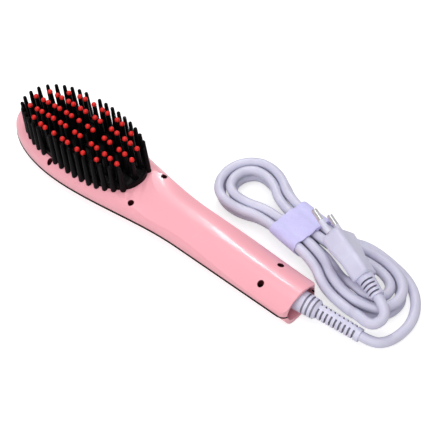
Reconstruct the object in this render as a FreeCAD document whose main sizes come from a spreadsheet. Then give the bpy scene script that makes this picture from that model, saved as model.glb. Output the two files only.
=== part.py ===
import FreeCAD, Part
import math
import os
import Sketcher
from FreeCAD import Placement, Rotation, Vector

# Heated straightening brush with its cord in a tied hank.
# Frame: X runs along the brush from the paddle's tip to the tail, Y across it, Z up.
# The brush lies on its back: z = 0 is the flat of the back cover, x = 0 the middle of the body.

doc = FreeCAD.newDocument("straightening_brush")
sheet = doc.addObject("Spreadsheet::Sheet", "Sizes")

SIZES = [
    # body
    ("body_length", 262.0, "tip of the paddle to the tail"),
    ("paddle_width", 56.0, "widest part of the paddle at the seam"),
    ("paddle_reach", 65.0, "from the tip to the widest part"),
    ("shoulder_run", 110.0, "from the widest part to where the handle starts"),
    ("handle_width", 33.6, "handle where it starts"),
    ("tail_width", 31.2, "handle at the tail"),
    ("back_height", 8.95, "back cover, from the table to its rim"),
    ("trim_height", 1.5, "dark strip between the two shells"),
    ("front_height", 11.05, "front shell, from its rim to its top"),
    ("shell_wall", 2.2, "wall of both shells"),
    ("shoulder_radius", 9.0, "rounding of the front shell's top edge"),
    ("handle_arch", 19.0, "arch over the handle at the tail, radius"),
    ("arch_growth", 0.07, "arch, added to its radius per length towards the paddle"),
    ("tail_corner", 5.0, "rounding of the tail's corners, seen from above"),
    ("spine_radius", 8.3, "rounding of the back cover's lower edge"),
    ("back_inset", 1.4, "back cover's rim inside the front shell's outline"),
    ("trim_proud", 0.3, "strip's outer edge outside the front shell's outline"),
    ("trim_width", 2.5, "width of the strip"),
    # pad
    ("pad_from_tip", 71.0, "from the tip to the middle of the pad"),
    ("pad_length", 112.0, "over the outer bristles' feet"),
    ("pad_width", 49.6, "over the outer bristles' feet"),
    ("pad_power", 2.4, "fullness of the pad's outline, 2 is an ellipse"),
    ("foot_proud", 2.8, "bristle foot outside the frame's wall"),
    ("frame_wall", 1.2, "wall of the pad frame"),
    ("frame_seat", 1.0, "depth of the frame's seat in the front shell"),
    ("frame_rise", 3.5, "frame's wall above the shell's top"),
    ("seat_clearance", 0.15, "frame in its seat, sideways"),
    ("ledge_width", 2.0, "shell under the frame, and frame under the plate"),
    ("bristle_pitch", 6.4, "outer bristles along the frame"),
    ("bristle_foot", 4.4, "outer bristle's diameter at its foot"),
    ("bristle_tip", 2.5, "outer bristle's diameter at its tip"),
    ("bristle_height", 24.5, "outer bristle above the shell's top"),
    ("bristle_drop", 4.0, "outer bristles at the pad's ends are lower by this"),
    ("smooth_end", 5.0, "frame's handle end left without bristles"),
    ("foot_clearance", 0.25, "bristle foot over the shell"),
    # heater and combs
    ("plate_gap", 0.3, "heater plate inside the frame"),
    ("plate_thick", 2.4, "heater plate"),
    ("rail_width", 3.0, "comb's rail"),
    ("rail_height", 1.5, "comb's rail"),
    ("row_pitch", 9.0, "between the combs' rows"),
    ("tooth_base", 3.6, "tooth's diameter on its rail"),
    ("tooth_end", 3.0, "tooth's diameter under its cap"),
    ("tooth_split", 5.2, "between the two teeth of a pair"),
    ("crown_height", 25.5, "middle teeth's caps above the shell's top"),
    ("crown_side", 2.5, "caps at the pad's sides are lower by this"),
    ("crown_end", 6.0, "caps at the pad's ends are lower by this"),
    ("cap_diameter", 3.4, "cap on a tooth"),
    ("cap_height", 2.3, "cap on a tooth"),
    ("spigot_diameter", 1.6, "pin of a tooth inside its cap"),
    ("spigot_height", 1.2, "pin of a tooth inside its cap"),
    ("cap_clearance", 0.1, "cap round its pin"),
    ("heater_length", 66.0, "heating element"),
    ("heater_width", 24.0, "heating element"),
    ("heater_thick", 5.0, "heating element"),
    ("clamp_margin", 2.5, "clamp plate past the heating element"),
    ("clamp_thick", 1.2, "clamp plate"),
    ("clamp_post", 5.0, "post under the clamp plate, diameter"),
    ("sensor_diameter", 3.4, "thermal fuse and temperature sensor"),
    ("fuse_length", 10.0, "thermal fuse"),
    ("sensor_length", 5.0, "temperature sensor"),
    # case screws
    ("screw_paddle_x", 60.0, "from the tip to the paddle's screws"),
    ("screw_paddle_y", 24.3, "paddle's screws from the middle"),
    ("screw_neck_x", 131.0, "from the tip to the neck's screws"),
    ("screw_neck_y", 15.2, "neck's screws from the middle"),
    ("screw_tail_x", 24.0, "from the tail to the tail's screws"),
    ("screw_tail_y", 9.2, "tail's screws from the middle"),
    ("screw_bore", 4.2, "hole over the screw's head"),
    ("screw_seat", 3.6, "shell under the screw's head"),
    ("screw_head", 3.8, "screw's head"),
    ("screw_head_height", 1.5, "screw's head"),
    ("screw_shank", 2.2, "screw's shank"),
    ("screw_length", 7.5, "screw's shank"),
    ("screw_clearance", 0.1, "shank in its holes, sideways"),
    ("boss_diameter", 7.0, "round post about a screw"),
    # controls
    ("panel_from_tail", 77.0, "from the tail to the middle of the control panel"),
    ("panel_length", 68.0, "recess of the control panel"),
    ("panel_width", 16.0, "recess of the control panel"),
    ("panel_depth", 1.6, "recess of the control panel"),
    ("panel_floor", 2.0, "wall between the recess and the inside"),
    ("overlay_thick", 0.5, "dark sheet in the recess"),
    ("overlay_gap", 0.2, "dark sheet inside the recess and round what passes it"),
    ("window_length", 25.0, "display window"),
    ("window_width", 11.0, "display window"),
    ("window_thick", 1.2, "display window"),
    ("window_lip", 2.0, "ledge under the window"),
    ("window_gap", 0.1, "window in its opening"),
    ("window_offset", 16.0, "display's middle from the panel's middle, to the paddle"),
    ("button_diameter", 8.0, "push button"),
    ("button_proud", 0.7, "button below the recess's floor"),
    ("button_flange", 10.0, "button's retaining flange"),
    ("flange_thick", 0.8, "button's retaining flange"),
    ("button_travel", 0.6, "push of a button"),
    ("button_clearance", 0.08, "button in its hole, sideways"),
    ("button_pitch", 11.0, "between the buttons"),
    ("button_offset", 26.0, "last button's middle from the panel's middle, to the tail"),
    ("stem_diameter", 3.4, "button's stem in its switch"),
    ("stem_entry", 1.4, "button's stem inside its switch"),
    ("switch_side", 6.0, "push switch"),
    ("switch_height", 3.2, "push switch"),
    ("switch_play", 0.3, "room left over a pressed button"),
    ("board_length", 60.0, "control board"),
    ("board_width", 21.0, "control board"),
    ("board_thick", 1.6, "control board"),
    ("board_from_tail", 77.0, "from the tail to the middle of the board"),
    ("board_post", 4.0, "post under the board"),
    ("post_margin", 3.0, "post's middle inside the board's edge"),
    ("display_length", 22.0, "display behind the window"),
    ("display_width", 10.0, "display behind the window"),
    ("display_gap", 0.4, "display above the window's ledge"),
    ("relay_length", 15.0, "relay on the board"),
    ("relay_width", 10.5, "relay on the board"),
    ("relay_height", 6.8, "relay on the board"),
    ("capacitor_diameter", 7.0, "capacitor on the board"),
    ("capacitor_height", 7.0, "capacitor on the board"),
    ("chip_side", 7.0, "controller on the board"),
    ("chip_height", 1.4, "controller on the board"),
    ("lead_diameter", 1.6, "insulated lead inside the handle"),
    # tail and swivel
    ("recess_depth", 10.0, "opening in the tail"),
    ("recess_width", 25.0, "opening in the tail"),
    ("recess_height", 16.8, "opening in the tail"),
    ("bulkhead_thick", 14.0, "solid part that holds the swivel"),
    ("swivel_from_tail", 14.0, "from the tail to the swivel's flange"),
    ("swivel_height", 12.0, "flange's middle above the table"),
    ("swivel_side", 7.0, "degrees that the cord's exit points to the hank"),
    ("swivel_dip", 5.0, "degrees that the cord's exit points down"),
    ("swivel_flange", 16.0, "swivel's retaining flange"),
    ("swivel_flange_thick", 4.0, "swivel's retaining flange"),
    ("swivel_neck", 12.0, "swivel's neck through the bulkhead"),
    ("swivel_neck_length", 7.0, "flange to the boot"),
    ("swivel_spigot", 8.4, "swivel's inner end"),
    ("swivel_spigot_length", 21.0, "swivel's inner end"),
    ("swivel_clearance", 0.06, "swivel in its bearings, sideways"),
    ("swivel_play", 0.1, "swivel in its bearings, lengthways"),
    ("ring_diameter", 9.4, "slip ring"),
    ("ring_width", 3.0, "slip ring"),
    ("ring_pitch", 4.5, "between the slip rings"),
    ("ring_lead", 1.5, "first slip ring from the spigot's end"),
    ("contact_gap", 0.3, "contact leaf under its slip ring"),
    ("contact_thick", 0.5, "contact leaf"),
    ("contact_length", 9.0, "contact leaf"),
    ("holder_width", 10.0, "contact holder"),
    # boot
    ("boot_length", 47.0, "strain relief"),
    ("boot_diameter", 14.4, "strain relief at the tail"),
    ("boot_rings", 12.8, "strain relief at the end of its ring grooves"),
    ("boot_neck", 10.0, "strain relief where its slots start"),
    ("boot_end", 8.6, "strain relief at the cord"),
    ("boot_plain", 9.0, "strain relief before its first groove"),
    ("boot_web", 2.6, "wall that joins the strain relief's ribs"),
    # cord
    ("cord_diameter", 6.4, "cord"),
    ("hank_x", 92.5, "middle of the tie, along the brush"),
    ("hank_y", 46.2, "middle of the tie, across the brush"),
    ("hank_angle", -7.5, "hank's turn about the vertical"),
    ("hank_pitch", 7.7, "between neighbouring turns, middle to middle"),
    ("hank_rise", 7.0, "between the two layers, middle to middle"),
    ("hank_waist", 13.2, "outer run from the middle at the tie"),
    ("hank_left", 72.0, "outer turn's end from the tie, to the paddle"),
    ("hank_left_half", 22.5, "outer turn's half width, to the paddle"),
    ("hank_left_cap", 21.0, "outer turn's round end, to the paddle"),
    ("hank_right", 87.0, "outer turn's end from the tie, past the tail"),
    ("hank_right_half", 23.0, "outer turn's half width, past the tail"),
    ("hank_right_cap", 30.0, "outer turn's round end, past the tail"),
    ("hank_entry", 13.0, "outer turn's start before its round end"),
    ("tie_width", 24.0, "tie, along the hank"),
    ("tie_thick", 1.2, "tie"),
    ("tie_gap", 0.35, "tie round the cord"),
    ("table_gap", 0.1, "tie above the table"),
    # plug
    ("plug_length", 33.0, "plug's block"),
    ("plug_width", 23.0, "plug's block, front"),
    ("plug_thick", 13.6, "plug's block, front"),
    ("plug_rear_width", 15.0, "plug's block, rear"),
    ("plug_rear_thick", 12.0, "plug's block, rear"),
    ("plug_round", 3.0, "plug's long edges"),
    ("relief_length", 14.0, "plug's strain relief"),
    ("relief_diameter", 11.0, "plug's strain relief at the block"),
    ("relief_end", 8.4, "plug's strain relief at the cord"),
    ("pin_diameter", 4.0, "plug's pin"),
    ("pin_length", 19.0, "plug's pin outside the block"),
    ("pin_root", 6.0, "plug's pin inside the block"),
    ("pin_pitch", 18.6, "between the pins"),
    ("sleeve_diameter", 3.8, "insulated part of a pin"),
    ("sleeve_length", 10.0, "insulated part of a pin"),
    ("pin_core", 2.6, "pin inside its sleeve and the block"),
]
for row, (name, value, note) in enumerate(SIZES, 1):
    sheet.set("A%d" % row, name)
    sheet.set("B%d" % row, str(value))
    sheet.setAlias("B%d" % row, name)
    sheet.set("C%d" % row, note)
doc.recompute()


class Dim:
    """A size: its number, and the text that binds a property to the sheet."""

    def __init__(self, value, text):
        self.value = float(value)
        self.text = text

    def __float__(self):
        return self.value

    def __add__(self, other):
        return Dim(self.value + float(other), "(%s + %s)" % (self.text, text_of(other)))

    def __radd__(self, other):
        return Dim(float(other) + self.value, "(%s + %s)" % (text_of(other), self.text))

    def __sub__(self, other):
        return Dim(self.value - float(other), "(%s - %s)" % (self.text, text_of(other)))

    def __rsub__(self, other):
        return Dim(float(other) - self.value, "(%s - %s)" % (text_of(other), self.text))

    def __mul__(self, other):
        return Dim(self.value * float(other), "%s * %s" % (self.text, text_of(other)))

    def __rmul__(self, other):
        return Dim(float(other) * self.value, "%s * %s" % (text_of(other), self.text))

    def __truediv__(self, other):
        return Dim(self.value / float(other), "%s / %s" % (self.text, text_of(other)))

    def __neg__(self):
        return Dim(-self.value, "(0 - %s)" % self.text)


def text_of(item):
    return item.text if isinstance(item, Dim) else repr(float(item))


class Sizes:
    def __getattr__(self, name):
        return Dim(sheet.get(name), "Sizes." + name)


S = Sizes()


def num(name):
    return float(sheet.get(name))


def bind(item, prop, dim):
    item.setExpression(prop, text_of(dim))


def place(item, at):
    for axis, dim in zip("xyz", at):
        bind(item, "Placement.Base." + axis, dim)


def box(name, size, at):
    item = doc.addObject("Part::Box", name)
    for prop, dim in zip(("Length", "Width", "Height"), size):
        bind(item, prop, dim)
    place(item, at)
    return item


def mid_box(name, size, at):
    """Box with its middle over at in X and Y and its floor at z."""
    return box(name, size, (at[0] - size[0] / 2, at[1] - size[1] / 2, at[2]))


def rod(name, diameter, height, at, turn=None):
    item = doc.addObject("Part::Cylinder", name)
    bind(item, "Radius", diameter / 2)
    bind(item, "Height", height)
    if turn:
        item.Placement = Placement(Vector(), turn)
    place(item, at)
    return item


def group(name, items):
    item = doc.addObject("Part::Compound", name)
    item.Links = list(items)
    return item


def fuse(name, items):
    item = doc.addObject("Part::MultiFuse", name)
    item.Shapes = list(items)
    return item


def cut(name, base, tools):
    item = doc.addObject("Part::Cut", name)
    item.Base = base
    tools = list(tools)
    item.Tool = tools[0] if len(tools) == 1 else fuse(name + "_tools", tools)
    return item


def feature(name, shape, placement=None):
    item = doc.addObject("Part::Feature", name)
    item.Shape = shape
    if placement:
        item.Placement = placement
    return item


NODES = []


def node(item, name):
    item.Label = name
    NODES.append((name, item))
    return item


# Levels and stations

tip_x = S.body_length / -2
tail_x = S.body_length / 2
trim_z = S.back_height
rim_z = S.back_height + S.trim_height
top_z = rim_z + S.front_height
pad_x = tip_x + S.pad_from_tip

# Outline of the body

def half_width(x):
    """Half width at the seam: half an ellipse, one smooth step to the handle, then a straight taper."""
    widest = float(tip_x) + num("paddle_reach")
    half = num("paddle_width") / 2
    if x <= widest:
        part = (x - widest) / num("paddle_reach")
        return half * math.sqrt(max(0.0, 1 - part * part))
    handle_x = widest + num("shoulder_run")
    handle = num("handle_width") / 2
    if x <= handle_x:
        part = (x - widest) / num("shoulder_run")
        return half + (handle - half) * (3 * part ** 2 - 2 * part ** 3)
    part = (x - handle_x) / (float(tail_x) - handle_x)
    return handle + (num("tail_width") / 2 - handle) * part


def outline(inset, end_x):
    """Points of the +Y half from the tip to end_x, moved in by inset along the normal."""
    widest = float(tip_x) + num("paddle_reach")
    base = []
    for step in range(10):
        angle = math.radians(10.0 * step)
        x = widest - num("paddle_reach") * math.cos(angle)
        base.append(Vector(x, num("paddle_width") / 2 * math.sin(angle), 0))
    stations = 10
    for step in range(stations + 1):
        x = widest + (float(tail_x) - widest) * step / stations
        base.append(Vector(x, half_width(x), 0))
    base = base[:9] + base[10:]
    moved = []
    for i, point in enumerate(base):
        if i == 0:
            moved.append(Vector(point.x + inset, 0, 0))
            continue
        after = base[min(i + 1, len(base) - 1)]
        before = base[i - 1] if i > 1 else Vector(base[1].x, -base[1].y, 0)
        if i == 1:
            before = base[0]
        along = (after - before).normalize()
        moved.append(Vector(point.x + along.y * inset, point.y - along.x * inset, 0))
    kept = [p for p in moved if p.x < end_x - 2.0]
    last = moved[len(kept) - 1]
    after = moved[min(len(kept), len(moved) - 1)]
    if after.x - last.x > 1e-6:
        slope = (after.y - last.y) / (after.x - last.x)
    else:
        slope = 0.0
    kept.append(Vector(end_x, last.y + slope * (end_x - last.x), 0))
    return kept


def outline_curves(inset, end_x):
    """One smooth curve from the tail round the tip and back, closed by a line across the tail."""
    upper = outline(inset, end_x)
    lower = [Vector(p.x, -p.y, 0) for p in upper]
    curve = Part.BSplineCurve()
    curve.interpolate(Points=upper[::-1] + lower[1:])
    return [curve, Part.LineSegment(lower[-1], upper[-1])]


def attach(sketch, body, role, offset=None):
    plane = [f for f in body.Origin.OriginFeatures if f.Role == role][0]
    sketch.AttachmentSupport = [(plane, "")]
    sketch.MapMode = "FlatFace"
    if offset is not None:
        bind(sketch, "AttachmentOffset.Base.z", offset)


def slab(name, inset, end_x, floor, height, rounded, radius):
    """Body pad of the outline between two levels, with its top or bottom edge rounded."""
    body = doc.addObject("PartDesign::Body", name)
    sketch = body.newObject("Sketcher::SketchObject", name + "_outline")
    attach(sketch, body, "XY_Plane", floor)
    sketch.addGeometry(outline_curves(float(inset), float(end_x)), False)
    pad = body.newObject("PartDesign::Pad", name + "_pad")
    pad.Profile = sketch
    bind(pad, "Length", height)
    doc.recompute()
    level = float(floor) + (float(height) if rounded == "top" else 0.0)
    names = []
    for i, edge in enumerate(pad.Shape.Edges, 1):
        flat = abs(edge.BoundBox.ZMin - level) < 1e-4 and abs(edge.BoundBox.ZMax - level) < 1e-4
        if flat and not isinstance(edge.Curve, Part.Line):
            names.append("Edge%d" % i)
    edge_round = body.newObject("PartDesign::Fillet", name + "_round")
    edge_round.Base = (pad, names)
    bind(edge_round, "Radius", radius)
    body.Tip = edge_round
    doc.recompute()
    return body


# Roundings stay inside the tip's own radius and the shells' heights.
tip_radius = (num("paddle_width") / 2) ** 2 / num("paddle_reach")
front_limit = min(tip_radius, num("front_height")) - 0.6
back_limit = min(tip_radius, num("back_height")) - 0.6
front_round = S.shoulder_radius
if num("shoulder_radius") > front_limit:
    front_round = Dim(front_limit, repr(front_limit))
back_round = S.spine_radius
if num("spine_radius") > back_limit:
    back_round = Dim(back_limit, repr(back_limit))

bulkhead_x = tail_x - S.recess_depth - S.bulkhead_thick

front_block = slab("front_block", 0, tail_x, rim_z, S.front_height, "top", front_round)
front_void = slab(
    "front_void", S.shell_wall, bulkhead_x, rim_z - 1.0, S.front_height - S.shell_wall + 1.0, "top",
    front_round - S.shell_wall
)
back_block = slab("back_block", S.back_inset, tail_x, Dim(0, "0"), S.back_height, "bottom", back_round)
back_void = slab(
    "back_void", S.shell_wall + S.back_inset, bulkhead_x, S.shell_wall,
    S.back_height - S.shell_wall + 1.0, "bottom", back_round - S.shell_wall * 1.6
)

# Arch: the top is flat under the pad and round over the handle, and the tail's corners are round

def arch_section(x, radius, lift):
    """Closed line across the body at x: a floor, straight sides and an arc over them."""
    half = half_width(x) + 3.0
    radius = max(radius, 1.02 * half)
    top = float(top_z) + lift
    edge = top - radius + math.sqrt(radius ** 2 - half ** 2)
    floor = float(rim_z) - 6.0
    a, b = Vector(x, -half, floor), Vector(x, half, floor)
    c, d = Vector(x, half, edge), Vector(x, -half, edge)
    return Part.Wire(
        [
            Part.LineSegment(a, b).toShape(),
            Part.LineSegment(b, c).toShape(),
            Part.Arc(c, Vector(x, 0, top), d).toShape(),
            Part.LineSegment(d, a).toShape(),
        ]
    )


pad_end = float(pad_x) + num("pad_length") / 2
arch_run = float(tail_x) - pad_end
sections = [arch_section(pad_end - 14.0, 500.0, 0.6), arch_section(pad_end - 4.0, 260.0, 0.3)]
for part in (0.12, 0.3, 0.6, 1.0):
    x = pad_end + part * arch_run
    grown = num("arch_growth") * arch_run * 4 * (1 - part) ** 2
    sections.append(arch_section(x, num("handle_arch") + grown, 0))
sections.append(arch_section(float(tail_x) + 4.0, num("handle_arch"), 0))
arch = Part.makeLoft(sections, True, False)
above = Part.makeBox(
    float(tail_x) + 3.0 - (pad_end - 13.0), num("paddle_width") * 1.6, num("front_height") + 12.0,
    Vector(pad_end - 13.0, -0.8 * num("paddle_width"), float(rim_z) - 5.0)
)
spare = above.cut(arch)
corner = num("tail_corner")
tail_half = num("tail_width") / 2
corners = []
for side in (-1, 1):
    block = Part.makeBox(
        corner + 2.0, corner + 2.0, float(top_z) + 4.0,
        Vector(float(tail_x) - corner, tail_half - corner if side > 0 else -tail_half - 2.0, -2.0)
    )
    middle = Vector(float(tail_x) - corner, side * (tail_half - corner), -3.0)
    corners.append(block.cut(Part.makeCylinder(corner, float(top_z) + 8.0, middle)))
front_round_top = cut("front_round_top", front_block, [feature("above_arch", spare)])
roof_drop = Placement(Vector(0, 0, -num("shell_wall")), Rotation())
front_roof = cut("front_roof", front_void, [feature("above_roof", spare, roof_drop)])
tail_corners = feature("tail_corners", Part.makeCompound(corners))

# Superellipse of the pad, by how far it lies inside the feet

def pad_axes(inset):
    return num("pad_length") / 2 - inset, num("pad_width") / 2 - inset


def pad_point(angle, inset):
    long_half, short_half = pad_axes(inset)
    power = 2.0 / num("pad_power")
    c = math.cos(angle)
    s = math.sin(angle)
    x = long_half * math.copysign(abs(c) ** power, c)
    y = short_half * math.copysign(abs(s) ** power, s)
    return Vector(float(pad_x) + x, y, 0)


def pad_half(x, inset):
    """Half width of the pad's outline at x."""
    long_half, short_half = pad_axes(inset)
    part = min(1.0, abs(x - float(pad_x)) / long_half)
    return short_half * (1 - part ** num("pad_power")) ** (1 / num("pad_power"))


def even_points(inset, count):
    """Points at equal steps along the pad's outline, from its handle end."""
    fine = [pad_point(2 * math.pi * i / 2880, inset) for i in range(2881)]
    sums = [0.0]
    for a, b in zip(fine, fine[1:]):
        sums.append(sums[-1] + (b - a).Length)
    points = []
    k = 0
    for i in range(count):
        want = sums[-1] * i / count
        while sums[k + 1] < want:
            k += 1
        points.append(fine[k] + (fine[k + 1] - fine[k]) * ((want - sums[k]) / (sums[k + 1] - sums[k])))
    return points, sums[-1]


def pad_prism(name, inset, floor, height):
    sketch = doc.addObject("Sketcher::SketchObject", name + "_outline")
    curve = Part.BSplineCurve()
    curve.interpolate(Points=even_points(float(inset), 56)[0], PeriodicFlag=True)
    sketch.addGeometry([curve], False)
    bind(sketch, "Placement.Base.z", floor)
    item = doc.addObject("Part::Extrusion", name)
    item.Base = sketch
    item.DirMode = "Custom"
    item.Dir = Vector(0, 0, 1)
    item.Solid = True
    bind(item, "LengthFwd", height)
    return item


wall_inset = S.foot_proud
inner_inset = wall_inset + S.frame_wall
seat_z = top_z - S.frame_seat
plate_z = top_z
deck_z = plate_z + S.plate_thick

# Case screws, three pairs mirrored about the middle

screw_spots = [
    (tip_x + S.screw_paddle_x, S.screw_paddle_y),
    (tip_x + S.screw_neck_x, S.screw_neck_y),
    (tail_x - S.screw_tail_x, S.screw_tail_y),
]
screw_spots = [(x, y) for x, y in screw_spots] + [(x, -y) for x, y in screw_spots]


def at_screws(name, diameter, floor, height):
    rods = []
    for i, (x, y) in enumerate(screw_spots, 1):
        rods.append(rod("%s_%d" % (name, i), diameter, height, (x, y, floor)))
    return rods


shank_hole = S.screw_shank + S.screw_clearance * 2
head_z = rim_z + S.screw_seat

# Swivel's frame: origin in the middle of the flange's tail face, X along the cord's exit

swivel_at = (tail_x - S.swivel_from_tail, Dim(0, "0"), S.swivel_height)
swivel_turn = Rotation(Vector(0, 0, 1), num("swivel_side")) * Rotation(Vector(0, 1, 0), num("swivel_dip"))
swivel_base = Vector(*[float(v) for v in swivel_at])
swivel_place = Placement(swivel_base, swivel_turn)
swivel_axis = swivel_turn.multVec(Vector(1, 0, 0))


def on_swivel(along):
    return swivel_base + swivel_axis * float(along)


def turned(name, profile, where):
    """Body revolved about its X axis from corners (along, radius), each bound to the sheet."""
    body = doc.addObject("PartDesign::Body", name)
    sketch = body.newObject("Sketcher::SketchObject", name + "_profile")
    attach(sketch, body, "XY_Plane")
    count = len(profile)
    spots = [Vector(float(x), float(r), 0) for x, r in profile]
    for i in range(count):
        sketch.addGeometry(Part.LineSegment(spots[i], spots[(i + 1) % count]), False)
    for i in range(count):
        sketch.addConstraint(Sketcher.Constraint("Coincident", i, 2, (i + 1) % count, 1))
    for i, (x, r) in enumerate(profile):
        if abs(float(r)) < 1e-9:
            sketch.addConstraint(Sketcher.Constraint("PointOnObject", i, 1, -1))
        else:
            sketch.addConstraint(Sketcher.Constraint("DistanceY", -1, 1, i, 1, float(r)))
            bind(sketch, "Constraints[%d]" % (sketch.ConstraintCount - 1), r)
        if abs(float(x)) < 1e-9:
            sketch.addConstraint(Sketcher.Constraint("PointOnObject", i, 1, -2))
        else:
            sketch.addConstraint(Sketcher.Constraint("DistanceX", -1, 1, i, 1, float(x)))
            bind(sketch, "Constraints[%d]" % (sketch.ConstraintCount - 1), x)
    spin = body.newObject("PartDesign::Revolution", name + "_spin")
    spin.Profile = sketch
    spin.ReferenceAxis = (sketch, ["H_Axis"])
    spin.Angle = 360.0
    body.Tip = spin
    body.Placement = where
    return body


flange_r = S.swivel_flange / 2
neck_r = S.swivel_neck / 2
spigot_r = S.swivel_spigot / 2
gap_r = S.swivel_clearance
gap_x = S.swivel_play
zero = Dim(0, "0")
swivel_bore = turned(
    "swivel_bore",
    [
        (-(S.swivel_flange_thick + S.swivel_spigot_length), zero),
        (-(S.swivel_flange_thick + S.swivel_spigot_length), spigot_r + gap_r),
        (-(S.swivel_flange_thick + gap_x), spigot_r + gap_r),
        (-(S.swivel_flange_thick + gap_x), flange_r + gap_r),
        (gap_x, flange_r + gap_r),
        (gap_x, neck_r + gap_r),
        (S.swivel_neck_length + 4.0, neck_r + gap_r),
        (S.swivel_neck_length + 4.0, zero),
    ],
    swivel_place,
)

# Opening in the tail: a slot with round sides, pad along X

tail_recess = doc.addObject("PartDesign::Body", "tail_recess")
recess_sketch = tail_recess.newObject("Sketcher::SketchObject", "tail_recess_profile")
attach(recess_sketch, tail_recess, "YZ_Plane", tail_x - S.recess_depth)
half_flat = (num("recess_width") - num("recess_height")) / 2
round_r = num("recess_height") / 2
mid_z = float(rim_z) + 0.3
low = mid_z - round_r
high = mid_z + round_r
recess_sketch.addGeometry(Part.LineSegment(Vector(-half_flat, low, 0), Vector(half_flat, low, 0)))
side = Part.Circle(Vector(half_flat, mid_z, 0), Vector(0, 0, 1), round_r)
recess_sketch.addGeometry(Part.ArcOfCircle(side, -math.pi / 2, math.pi / 2))
recess_sketch.addGeometry(Part.LineSegment(Vector(half_flat, high, 0), Vector(-half_flat, high, 0)))
side = Part.Circle(Vector(-half_flat, mid_z, 0), Vector(0, 0, 1), round_r)
recess_sketch.addGeometry(Part.ArcOfCircle(side, math.pi / 2, 3 * math.pi / 2))
recess_pad = tail_recess.newObject("PartDesign::Pad", "tail_recess_pad")
recess_pad.Profile = recess_sketch
bind(recess_pad, "Length", S.recess_depth + 2.0)
doc.recompute()

# Front shell

front_posts = at_screws("front_boss", S.boss_diameter, rim_z - 2.0, S.front_height + 4.0)
front_bosses = fuse("front_bosses", front_posts)
front_hollow = cut("front_hollow", front_roof, [front_bosses])
front_cuts = [
    front_hollow,
    pad_prism("frame_pocket", wall_inset - S.seat_clearance, seat_z, S.frame_seat + 2.0),
    pad_prism("pad_opening", inner_inset + S.ledge_width, rim_z, S.front_height + 2.0),
    tail_recess,
    swivel_bore,
    tail_corners,
]
front_cuts += at_screws("front_bore", S.screw_bore, head_z, S.front_height)
front_cuts += at_screws("front_hole", shank_hole, rim_z - 1.0, S.screw_seat + 2.0)
front_shell = node(cut("front_shell_solid", front_round_top, front_cuts), "front_shell")

# Control panel in the back cover

panel_x = tail_x - S.panel_from_tail
window_x = panel_x - S.window_offset
button_xs = [panel_x + S.button_offset - S.button_pitch * i for i in range(3)]
floor_z = S.panel_depth + S.panel_floor
flange_top = floor_z + S.flange_thick
switch_z = flange_top + S.button_travel + S.switch_play
board_z = switch_z + S.switch_height
board_x = tail_x - S.board_from_tail


def stadium(name, length, width, floor, height, mid):
    """Straight sides along X with half round ends."""
    bar = mid_box(name + "_bar", (length - width, width, height), (mid, zero, floor))
    ends = [rod("%s_end_%d" % (name, i), width, height, (mid + (length - width) / 2 * side, zero, floor))
            for i, side in enumerate((-1, 1), 1)]
    return fuse(name, [bar] + ends)


panel_raise = stadium(
    "panel_raise", S.panel_length + S.shell_wall * 2, S.panel_width + S.shell_wall, zero, floor_z, panel_x
)
panel_recess = stadium(
    "panel_recess", S.panel_length, S.panel_width, Dim(-1, "-1"), S.panel_depth + 1.0, panel_x
)
board_posts = []
for i, sx in enumerate((-1, 1)):
    for j, sy in enumerate((-1, 1)):
        spot = (
            board_x + (S.board_length / 2 - S.post_margin) * sx,
            (S.board_width / 2 - S.post_margin) * sy,
            S.shell_wall / 2,
        )
        board_posts.append(rod("board_post_%d%d" % (i, j), S.board_post, board_z - S.shell_wall / 2, spot))
heater_z = plate_z - S.heater_thick
clamp_z = heater_z - S.clamp_thick
clamp_length = S.heater_length + S.clamp_margin * 2
clamp_width = S.heater_width + S.clamp_margin * 2
clamp_posts = []
for i, sx in enumerate((-1, 1)):
    for j, sy in enumerate((-1, 1)):
        spot = (
            pad_x + (clamp_length / 2 - S.clamp_post / 2) * sx,
            (clamp_width / 2 - S.clamp_post / 2) * sy,
            S.shell_wall / 2,
        )
        clamp_posts.append(rod("clamp_post_%d%d" % (i, j), S.clamp_post, clamp_z - S.shell_wall / 2, spot))
back_bosses = at_screws("back_boss", S.boss_diameter, S.shell_wall / 2, rim_z - S.shell_wall / 2)
back_hollow = cut("back_hollow", back_void, [panel_raise])
back_base = cut("back_base", back_block, [back_hollow])
back_bosses_in = doc.addObject("Part::Common", "back_bosses_in")
back_bosses_in.Base = fuse("back_bosses_all", back_bosses)
boss_inset = S.trim_width - S.trim_proud + S.seat_clearance
boss_round = back_round + S.back_inset - boss_inset
back_bosses_in.Tool = slab("boss_limit", boss_inset, tail_x, zero, rim_z, "bottom", boss_round)
back_full = fuse("back_full", [back_base, back_bosses_in] + board_posts + clamp_posts)
button_hole = S.button_diameter + S.button_clearance * 2
back_cuts = [panel_recess, tail_recess, swivel_bore, tail_corners]
back_cuts += [rod("button_hole_%d" % i, button_hole, S.panel_floor + 2.0, (x, zero, S.panel_depth - 1.0))
              for i, x in enumerate(button_xs, 1)]
back_cuts.append(
    mid_box(
        "window_seat",
        (S.window_length + S.window_gap * 2, S.window_width + S.window_gap * 2, S.window_thick + 1.0),
        (window_x, zero, S.panel_depth - 1.0),
    )
)
back_cuts.append(
    mid_box(
        "window_hole",
        (S.window_length - S.window_lip * 2, S.window_width - S.window_lip * 2, S.panel_floor + 2.0),
        (window_x, zero, S.panel_depth - 1.0),
    )
)
pilot_z = head_z - S.screw_length - 1.0
back_cuts += at_screws("back_hole", shank_hole, pilot_z, rim_z - pilot_z + 1.0)
back_cover = node(cut("back_cover_solid", back_full, back_cuts), "back_cover")

# Dark strip in the seam

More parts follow.
